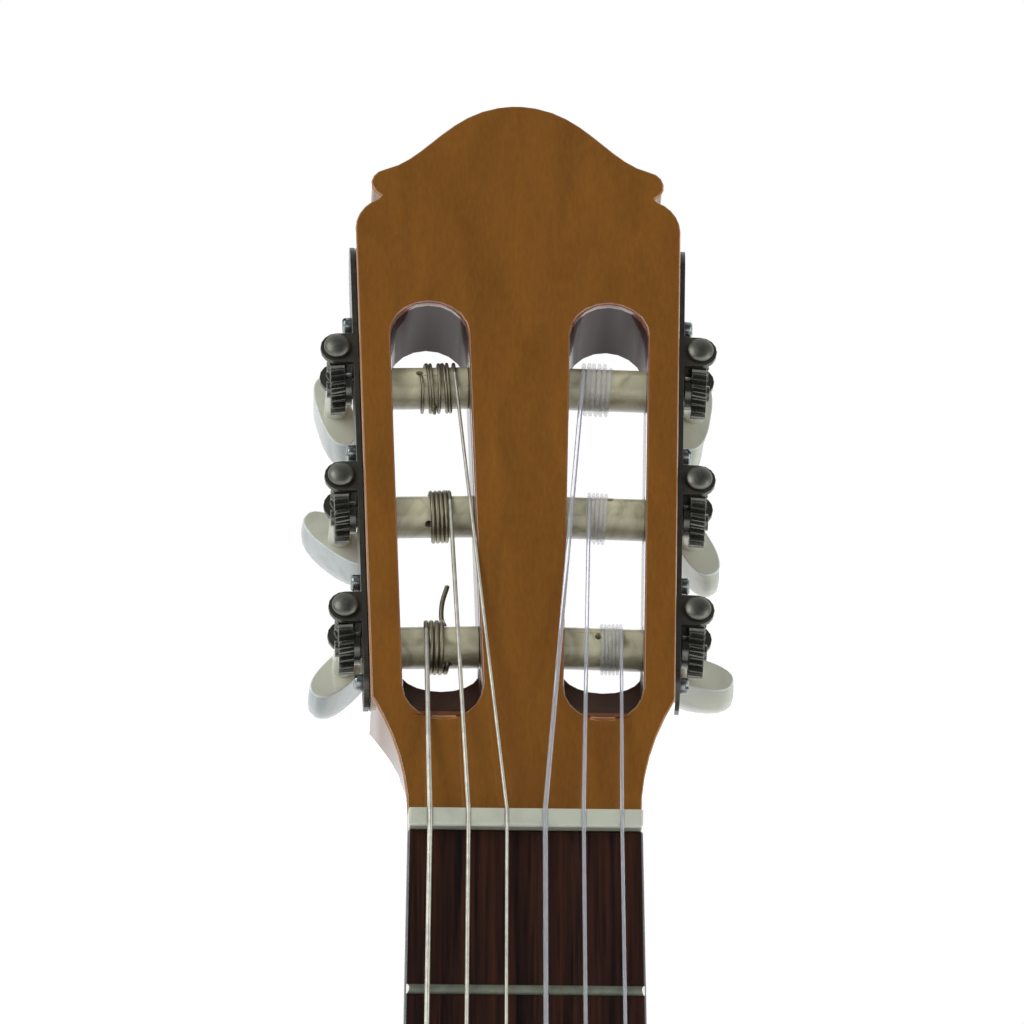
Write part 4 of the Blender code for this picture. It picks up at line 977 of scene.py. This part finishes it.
# ------------------------------------------------------------------------ tuning machines
class GUITAR_OT_plates(bpy.types.Operator):
    """Black tuner plates with rounded edges, without their screws"""

    bl_idname = "guitar.plates"
    bl_label = "Tuner plates"

    def execute(self, context):
        sizes = context.scene.guitar_sizes
        for name, number in (("bass", 6), ("treble", 1)):
            place, side = machine(number)
            piece = cad_copy(f"tuner_plate_{name}", f"black_plate_{name}")
            back = place.inverted()
            heads = [back @ point for point in screw_places(number)]
            edit(piece, "VERT")
            leave_edit()
            for vertex in piece.data.vertices:
                local = back @ vertex.co
                near = min(math.hypot(local.y - head.y, local.z - head.z) for head in heads)
                vertex.select = near < sizes.screw_radius * 1.03 and local.x * side > PLATE_OUT + 0.0001
            edit_selected(piece)
            bpy.ops.mesh.delete(type="VERT")
            bpy.ops.mesh.select_all(action="SELECT")
            bpy.ops.mesh.fill_holes(sides=0)
            leave_edit()
            soften(piece, sizes.plate_edge, 3, 40, clamp=True)
            shade(piece)
            paint(piece, "plate")
            mount(piece, "guitar", "black_nickel", f"tuner_plate_{name}")
        return {"FINISHED"}


def edit_selected(piece):
    """Opens a piece in edit mode with its selection as it is."""
    choose(piece)
    bpy.ops.object.mode_set(mode="EDIT")


def screw_places(number):
    """Where the mounting screws meet the plate: one at each end and one between two rollers."""
    place, side = machine(number)
    top = machine(4 if side < 0 else 3)[0].translation
    foot = place.translation
    step = (top - foot) / 2
    along = step.normalized()
    places = [foot - along * 0.0090, foot + step * 0.5, foot + step * 1.5, top + along * 0.0175]
    return [point + place.to_3x3() @ Vector((side * PLATE_OUT, 0, 0)) for point in places]


class GUITAR_OT_screws(bpy.types.Operator):
    """Zinc mounting screws with domed, slotted heads"""

    bl_idname = "guitar.screws"
    bl_label = "Mounting screws"

    def execute(self, context):
        sizes = context.scene.guitar_sizes
        radius, height = sizes.screw_radius, sizes.screw_height
        for name, number in (("bass", 6), ("treble", 1)):
            place, side = machine(number)
            outward = place.to_3x3() @ Vector((side, 0, 0))
            turn = outward.to_track_quat("Z", "Y").to_matrix().to_4x4()
            screws = []
            for i, point in enumerate(screw_places(number)):
                deselect()
                bpy.ops.mesh.primitive_cylinder_add(
                    vertices=40, radius=radius, depth=height, location=(0, 0, height / 2)
                )
                screw = take(f"screw_{name}_{i}")
                settle(screw)
                pick_faces(screw, lambda centre, normal: normal.z > 0.9)
                bpy.ops.mesh.bevel(offset=height * 0.35, segments=5, profile=0.5, clamp_overlap=True)
                deselect()
                bpy.ops.mesh.primitive_cube_add(
                    size=1, location=(0, 0, height), rotation=(0, 0, 0.5 + 1.1 * i)
                )
                slot = take("slot")
                slot.scale = (radius * 3, radius * 0.34, height * 0.8)
                settle(slot)
                carve(screw, slot)
                screw.data.transform(Matrix.Translation(point) @ turn)
                screws.append(screw)
            piece = unite(f"mounting_screws_{name}", screws)
            soften(piece, 0.00006, 2, 50)
            shade(piece)
            paint(piece, "zinc")
            mount(piece, "guitar", "dark_steel")
        return {"FINISHED"}


class GUITAR_OT_gears(bpy.types.Operator):
    """Worm wheels with their bosses and screws"""

    bl_idname = "guitar.gears"
    bl_label = "Gears"

    def execute(self, context):
        for number in STRINGS:
            piece = cad_copy(f"gear_{number}", f"worm_wheel_{number}")
            soften(piece, context.scene.guitar_sizes.metal_edge * 0.8, 2, 30)
            shade(piece)
            paint(piece, "gear")
            mount(piece, f"roller_{number}", "black_nickel", f"gear_{number}")
        return {"FINISHED"}


class GUITAR_OT_worms(bpy.types.Operator):
    """Worms with their shafts and domed front ends"""

    bl_idname = "guitar.worms"
    bl_label = "Worms"

    def execute(self, context):
        sizes = context.scene.guitar_sizes
        for number in STRINGS:
            worm = cad_copy(f"worm_{number}", f"worm_thread_{number}")
            soften(worm, sizes.metal_edge, 2, 40)
            place, side = machine(number)
            back = place.inverted()
            front = min((back @ vertex.co).y for vertex in worm.data.vertices)
            deselect()
            bpy.ops.mesh.primitive_uv_sphere_add(segments=56, ring_count=28, radius=sizes.cap_radius)
            dome = take(f"dome_{number}")
            dome.data.transform(Matrix.Scale(sizes.cap_dome / sizes.cap_radius, 4, (0, 0, 1)))
            at = Matrix.Translation((side * SIDE_AXIS, front + sizes.cap_dome * 0.7, WORM_ABOVE))
            dome.data.transform(place @ at @ Matrix.Rotation(math.pi / 2, 4, "X"))
            piece = unite(f"pewter_worm_{number}", [worm, dome])
            shade(piece, 50)
            paint(piece, "cap")
            mount(piece, f"worm_{number}", "dark_steel", f"worm_{number}")
        return {"FINISHED"}


class GUITAR_OT_buttons(bpy.types.Operator):
    """Pearl tuning buttons"""

    bl_idname = "guitar.buttons"
    bl_label = "Tuning buttons"

    def execute(self, context):
        sizes = context.scene.guitar_sizes
        rings = 16
        for number in STRINGS:
            deselect()
            bpy.ops.mesh.primitive_cylinder_add(vertices=80, radius=1, depth=1, location=(0, 0, 0.5))
            slab = take(f"slab_{number}")
            settle(slab)
            for step in range(1, rings):
                split(slab, (0, 0, step / rings), (0, 0, 1))
            for vertex in slab.data.vertices:
                vertex.co = button_surface(vertex.co, sizes)
            soften(slab, sizes.button_edge, 3, 50)
            deselect()
            bpy.ops.mesh.primitive_cone_add(
                vertices=40, radius1=0.0021, radius2=0.0027, depth=sizes.button_collar,
                location=(0, 0, sizes.button_collar / 2),
            )
            collar = take(f"collar_{number}")
            settle(collar)
            piece = unite(f"pearl_button_{number}", [slab, collar])
            place, side = machine(number)
            axis = Matrix.Translation((side * SIDE_AXIS, BUTTON_DEPTH, WORM_ABOVE))
            at = axis @ Matrix.Rotation(-math.pi / 2, 4, "X")
            place = place @ at @ Matrix.Rotation(math.radians(BUTTON_TURNS[number]), 4, "Z")
            piece.data.transform(place)
            shade(piece, 50)
            paint(piece, "pearl" if number > 3 else "pearl_warm", "pearl_front_painted_light", "pearl_ridge")
            back = place.inverted()
            wide_part = sizes.button_collar + 0.0002
            turn = back.to_3x3()

            def on_ridge(centre, normal):
                return (back @ centre).z > wide_part - 0.0003 and -0.95 < (turn @ normal).z < -0.25

            # Painted light: the collar and front face take the lighter copy of the pearl.
            paint_where(piece, 1, lambda centre, normal: (back @ centre).z < wide_part)
            # Painted highlight: the rounded ridge between front and broad faces takes the near-white colour.
            paint_where(piece, 2, on_ridge)
            mount(piece, f"worm_{number}", "pearl_plastic", f"button_{number}")
        return {"FINISHED"}


def button_surface(point, sizes):
    """Takes a point of a unit cylinder to the button: a slab with flat front and round end."""
    straight = 0.5
    share = point.z
    if share < straight:
        reach, wide = share * 0.9, 1 - 0.06 * (1 - share / straight) ** 2
    else:
        angle = (share - straight) / (1 - straight) * math.radians(87)
        reach = straight * 0.9 + (1 - straight * 0.9) * math.sin(angle) ** 0.8
        wide = math.cos(angle) ** 0.8
    deep = 1 - 0.4 * max(0.0, (reach - 0.55) / 0.45) ** 2
    flat = 2 / 2.5
    around = math.hypot(point.x, point.y)
    if around < 0.001:
        x = y = 0.0
    else:
        x = math.copysign(abs(point.x / around) ** flat, point.x) * around
        y = math.copysign(abs(point.y / around) ** flat, point.y) * around
    half_wide, half_deep = sizes.button_width / 2, sizes.button_thickness / 2
    height = sizes.button_collar + reach * sizes.button_length
    return Vector((x * wide * half_wide, y * deep * half_deep, height))


class GUITAR_OT_rollers(bpy.types.Operator):
    """Marbled rollers, each with the hole for its string"""

    bl_idname = "guitar.rollers"
    bl_label = "String rollers"

    def execute(self, context):
        sizes = context.scene.guitar_sizes
        for number in STRINGS:
            place, side = machine(number)
            back = place.inverted()
            vertices = frame["nodes"][f"roller_{number}"].data.vertices
            reach = [(back @ vertex.co).x * side for vertex in vertices]
            inner = min(reach) + STUB
            rings = ((min(reach), 0.0030), (inner, 0.0030), (inner, ROLLER_R))
            rings += ((-0.0001, ROLLER_R), (-0.0001, 0.0024), (max(reach), 0.0024))
            deselect()
            bpy.ops.mesh.primitive_circle_add(vertices=64, radius=rings[0][1], fill_type="NGON")
            piece = take(f"marbled_roller_{number}")
            bpy.ops.object.mode_set(mode="EDIT")
            bpy.ops.mesh.select_all(action="SELECT")
            for (before, old), (after, new) in zip(rings, rings[1:]):
                bpy.ops.mesh.extrude_region_move(TRANSFORM_OT_translate={"value": (0, 0, after - before)})
                bpy.ops.transform.resize(value=(new / old, new / old, 1))
            leave_edit()
            outward = Matrix.Translation((side * rings[0][0], 0, 0))
            outward = outward @ Matrix.Rotation(side * math.pi / 2, 4, "Y")
            piece.data.transform(place @ outward)
            clean(piece, 0.000004)
            hole_at = place @ Matrix.Translation((side * (hole_offset(number) - STRINGS[number][1]), 0, 0))
            angle = landing_angle(number) + 2 * math.pi * STRINGS[number][3] + 0.8
            deselect()
            bpy.ops.mesh.primitive_cylinder_add(vertices=24, radius=sizes.string_hole, depth=4 * ROLLER_R)
            drill = take("drill")
            drill.data.transform(hole_at @ Matrix.Rotation(math.pi / 2 - angle, 4, "X"))
            carve(piece, drill)
            soften(piece, 0.0002, 2, 50)
            shade(piece, 40)
            paint(piece, "roller")
            mount(piece, f"roller_{number}", "cream_plastic", f"roller_{number}")
        return {"FINISHED"}


# ------------------------------------------------------------------------------- strings
def winding_width(number):
    diameter, _, _, turns, gap = STRINGS[number]
    return turns * (diameter + gap)


def hole_offset(number):
    """Where a roller's string hole is, outward from where its string lands."""
    way = STRINGS[number][2]
    return way * (winding_width(number) + 0.0006)


def nut_exit(number):
    """Where a string leaves the nut for the head."""
    return Vector((NUT_SPAN * ((6 - number) / 5 - 0.5), -NUT_HEIGHT, NUT_T * 0.8))


def landing_angle(number):
    """Angle round the roller, from its front upward, at which the string meets it."""
    place, _ = machine(number)
    local = place.inverted() @ nut_exit(number)
    radius = WINDING_R + STRINGS[number][0] / 2
    return math.atan2(-local.y, -local.z) - math.asin(radius / math.hypot(local.y, local.z))


def string_points(number):
    """Centre line of a string from the end of its knot at the bridge to its roller's hole."""
    diameter, out, way, turns, gap = STRINGS[number]
    r = diameter / 2
    share = (6 - number) / 5 - 0.5
    x, over = SADDLE_SPAN * share, TIE_TOP + r + 0.0001
    lift = diameter * 1.05
    knot = (
        (3.4, over, TIE_BACK - 0.0012), (2.9, over, TIE_BACK + 0.002), (1.9, over, TIE_FRONT - 0.0025),
        (1.2, over, TIE_FRONT - 0.0002), (0.7, TIE_HOLE_HEIGHT + 0.0022, TIE_FRONT + r + 0.0003),
        (-0.3, TIE_HOLE_HEIGHT + 1.1 * diameter, TIE_FRONT + r + 0.0009),
        (-1.1, TIE_HOLE_HEIGHT + 0.0022, TIE_FRONT + r + 0.0003), (-1.0, over, TIE_FRONT - 0.0002),
        (0.4, over + lift, TIE_FRONT - 0.0030), (1.0, over + lift * 0.9, TIE_FRONT - 0.0046),
        (0.5, over + lift * 0.2, TIE_BACK + 0.0028), (0.1, over, TIE_BACK + 0.0006),
        (0, TIE_TOP - 0.0004, TIE_BACK - r - 0.0002), (0, TIE_HOLE_HEIGHT + 0.0012, TIE_BACK - r - 0.0003),
        (0, TIE_HOLE_HEIGHT, TIE_BACK + 0.0004), (0, TIE_HOLE_HEIGHT, TIE_FRONT),
    )
    points = flowing([Vector((x + dx / 1000, -height, z)) for dx, height, z in knot])
    crown = SADDLE_HEIGHT + r + 0.0001
    points += [Vector((x, -crown, -SCALE - SADDLE_T / 2)), Vector((x, -crown, -SCALE))]
    points += [nut_exit(number) + Vector((0, -0.0001, -NUT_T * 0.7)), nut_exit(number)]
    place, side = machine(number)
    radius, start = WINDING_R + r, landing_angle(number)
    for step in range(round(turns * TURN_STEPS) + 1):
        turn = step / TURN_STEPS
        angle = start + 2 * math.pi * turn
        wander = gap * 0.8 * math.sin(turn * 4.1 + number)
        along = -out + way * (turn * (diameter + gap) + wander * min(turn, 1))
        rise = radius + 0.00004 * math.sin(turn * 7.3)
        points.append(place @ Vector((side * along, -rise * math.cos(angle), rise * math.sin(angle))))
    for step in range(1, 8):
        angle = start + 2 * math.pi * (turns + step / 40)
        along = -out + way * (winding_width(number) + 0.0006 * step / 7)
        rise = radius * (1 - 0.45 * (step / 7) ** 2)
        points.append(place @ Vector((side * along, -rise * math.cos(angle), rise * math.sin(angle))))
    return points


class GUITAR_OT_strings(bpy.types.Operator):
    """Six strings, tied at the bridge and wound round their rollers"""

    bl_idname = "guitar.strings"
    bl_label = "Strings"

    def execute(self, context):
        for number, (diameter, *_) in STRINGS.items():
            wound = number > 3
            finish, slot = ("wound", "wound_string") if wound else ("nylon", "nylon_string")
            sides = context.scene.guitar_sizes.tube_sides
            piece = tube(f"tied_string_{number}", string_points(number), diameter / 2, finish, sides)
            back = machine(number)[0].inverted()
            # Round the rollers, wound strings take the darker winding as painted shade; nylon ones take the
            # see-through nylon.
            paint(piece, finish, "worn" if wound else "clear")
            paint_where(piece, 1, lambda centre, normal: (back @ centre).yz.length < WINDING_R + 0.0014)
            mount(piece, "guitar", slot, f"string_{number}")
        return {"FINISHED"}


class GUITAR_OT_string_ends(bpy.types.Operator):
    """Loose ends of the strings that stand out of the rollers"""

    bl_idname = "guitar.string_ends"
    bl_label = "String ends"

    def execute(self, context):
        for number, ends in LOOSE_ENDS.items():
            place, side = machine(number)
            diameter = STRINGS[number][0]
            points = [place @ Vector((side * (x / 1000), y / 1000, z / 1000)) for x, y, z in ends]
            # The loose wound ends take the darker winding, painted shade.
            finish, slot = ("worn", "wound_string") if number > 3 else ("nylon", "nylon_string")
            piece = tube(f"string_end_{number}", flowing(points), diameter / 2, finish, 2)
            mount(piece, f"roller_{number}", slot)
        return {"FINISHED"}


# --------------------------------------------------------------------------------- stage
CAMERA_AT = Vector((-0.075213, -2.041874, -0.581440))
CAMERA_LOOK = Vector((0.033723, 0.951357, 0.306239))
CAMERA_UP = Vector((-0.011644, -0.306018, 0.951954))
CAMERA_LENS = 337.13

# Lamps: name, place, what they point at, size across and down, and power.
LAMPS = (
    ("key_lamp", (-1.3, -1.5, 1.1), (0, 0, -0.1), 1.0, 1.4, 21.0),
    ("fill_lamp", (1.7, -1.5, 0.2), (0, 0, -0.1), 1.2, 1.6, 14.0),
    ("left_rim_lamp", (-1.5, 0.7, 0.4), (0, 0, -0.1), 0.5, 1.8, 4.0),
    ("right_rim_lamp", (1.5, 0.8, 0.3), (0, 0, -0.1), 0.5, 1.8, 4.0),
    ("back_lamp", (0.4, 2.0, 0.9), (0, 0, -0.4), 1.4, 1.4, 8.0),
)


def aimed(place, target):
    """A turn that points an object's -Z from its place at a target."""
    return (Vector(target) - Vector(place)).to_track_quat("-Z", "Y").to_euler()


def world_paint():
    """White where the camera looks, white behind and beside the guitar in its gloss, and dim in front."""
    world = bpy.data.worlds.new("studio")
    bpy.context.scene.world = world
    world.use_nodes = True
    tree = world.node_tree
    surround = tree.nodes["Background"]
    surround.inputs["Color"].default_value = (1, 1, 1, 1)
    rays = tree.nodes.new("ShaderNodeLightPath")
    where = tree.nodes.new("ShaderNodeTexCoord")
    axes = tree.nodes.new("ShaderNodeSeparateXYZ")
    behind = tree.nodes.new("ShaderNodeMapRange")
    gloss, seen = (tree.nodes.new("ShaderNodeMix") for _ in range(2))
    tree.links.new(where.outputs["Generated"], axes.inputs[0])
    tree.links.new(axes.outputs["Y"], behind.inputs["Value"])
    for key, value in (("From Min", -0.65), ("From Max", 0.1), ("To Min", 0.10), ("To Max", 1.0)):
        behind.inputs[key].default_value = value
    tree.links.new(rays.outputs["Is Glossy Ray"], gloss.inputs[0])
    gloss.inputs[2].default_value = 0.45
    tree.links.new(behind.outputs["Result"], gloss.inputs[3])
    either = tree.nodes.new("ShaderNodeMath")
    either.operation = "MAXIMUM"
    tree.links.new(rays.outputs["Is Camera Ray"], either.inputs[0])
    tree.links.new(rays.outputs["Is Transmission Ray"], either.inputs[1])
    tree.links.new(either.outputs[0], seen.inputs[0])
    tree.links.new(gloss.outputs[0], seen.inputs[2])
    seen.inputs[3].default_value = 1.0
    tree.links.new(seen.outputs[0], surround.inputs["Strength"])


def floor_paint():
    """Pale floor that keeps shadows and shows white in the gloss of the pieces."""
    s = Shader("pale_floor")
    rays = s.add("LightPath").outputs
    mirrored = s.sum("MAXIMUM", rays["Is Glossy Ray"], rays["Is Transmission Ray"])
    seen = s.sum("MAXIMUM", rays["Is Camera Ray"], mirrored)
    where = s.place()
    grain = s.noise(where, 40.0, 2.0)
    away = s.add("VectorMath", {0: where}, operation="LENGTH").outputs["Value"]
    far = s.add("MapRange", {"Value": away}).outputs[0]
    far.node.interpolation_type = "SMOOTHSTEP"
    far.node.inputs["From Min"].default_value, far.node.inputs["From Max"].default_value = 0.5, 1.5
    glow = s.sum("ADD", s.sum("MULTIPLY", far, 0.6), 0.42)
    tone = s.ramp(grain, (0.3, (0.78, 0.78, 0.78)), (0.7, (0.8, 0.8, 0.8)))
    values = {"Base_Color": tone, "Roughness": 0.7}
    values |= {"Emission_Color": (1, 1, 1, 1), "Emission_Strength": s.sum("MULTIPLY", seen, glow)}
    return s.finish(**values)


class GUITAR_OT_stage(bpy.types.Operator):
    """Camera, lamps, surroundings and floor"""

    bl_idname = "guitar.stage"
    bl_label = "Stage"

    def execute(self, context):
        leave_edit()
        turn = Matrix((CAMERA_LOOK.cross(CAMERA_UP).normalized(), CAMERA_UP, -CAMERA_LOOK)).transposed()
        bpy.ops.object.camera_add(location=CAMERA_AT, rotation=turn.to_euler())
        camera = bpy.context.object
        camera.data.lens = CAMERA_LENS
        camera.data.sensor_width = 36
        camera.data.clip_end = 50
        context.scene.camera = camera
        for name, place, target, across, down, power in LAMPS:
            bpy.ops.object.light_add(type="AREA", location=place, rotation=aimed(place, target))
            lamp = bpy.context.object
            lamp.name = name
            lamp.data.shape = "RECTANGLE"
            lamp.data.size, lamp.data.size_y, lamp.data.energy = across, down, power
        bpy.ops.mesh.primitive_plane_add(size=14, location=(0, 0, BODY_END - 0.0004))
        floor = take("studio_floor")
        floor.data.materials.append(floor_paint())
        world_paint()
        context.scene.view_settings.view_transform = "Standard"
        return {"FINISHED"}


class GUITAR_OT_finishes(bpy.types.Operator):
    """Every wood, metal and plastic of the guitar"""

    bl_idname = "guitar.finishes"
    bl_label = "Finishes"

    def execute(self, context):
        PAINTS.update(make_paints(context.scene))
        return {"FINISHED"}


class GUITAR_PT_tools(bpy.types.Panel):
    """The guitar's pieces, sizes and colours"""

    bl_label = "Classical guitar"
    bl_idname = "GUITAR_PT_tools"
    bl_space_type = "VIEW_3D"
    bl_region_type = "UI"
    bl_category = "Guitar"

    def draw(self, context):
        for operator in OPERATORS:
            self.layout.operator(operator.bl_idname)
        for group in (context.scene.guitar_sizes, context.scene.guitar_colours):
            for name in group.__annotations__:
                self.layout.prop(group, name)


OPERATORS = (
    GUITAR_OT_finishes,
    GUITAR_OT_neck,
    GUITAR_OT_fingerboard,
    GUITAR_OT_frets,
    GUITAR_OT_nut_and_saddle,
    GUITAR_OT_plates,
    GUITAR_OT_screws,
    GUITAR_OT_gears,
    GUITAR_OT_worms,
    GUITAR_OT_buttons,
    GUITAR_OT_rollers,
    GUITAR_OT_strings,
    GUITAR_OT_string_ends,
    GUITAR_OT_soundboard,
    GUITAR_OT_rosette,
    GUITAR_OT_bridge,
    GUITAR_OT_sides,
    GUITAR_OT_back,
    GUITAR_OT_woodwork,
    GUITAR_OT_stage,
)


def register():
    for kind in (GuitarSizes, GuitarColours, *OPERATORS, GUITAR_PT_tools):
        bpy.utils.register_class(kind)
    bpy.types.Scene.guitar_sizes = PointerProperty(type=GuitarSizes)
    bpy.types.Scene.guitar_colours = PointerProperty(type=GuitarColours)


def unregister():
    del bpy.types.Scene.guitar_colours
    del bpy.types.Scene.guitar_sizes
    for kind in (GUITAR_PT_tools, *reversed(OPERATORS), GuitarColours, GuitarSizes):
        bpy.utils.unregister_class(kind)


def main():
    register()
    for operator in OPERATORS:
        group, name = operator.bl_idname.split(".")
        getattr(getattr(bpy.ops, group), name)()


if __name__ == "__main__":
    main()
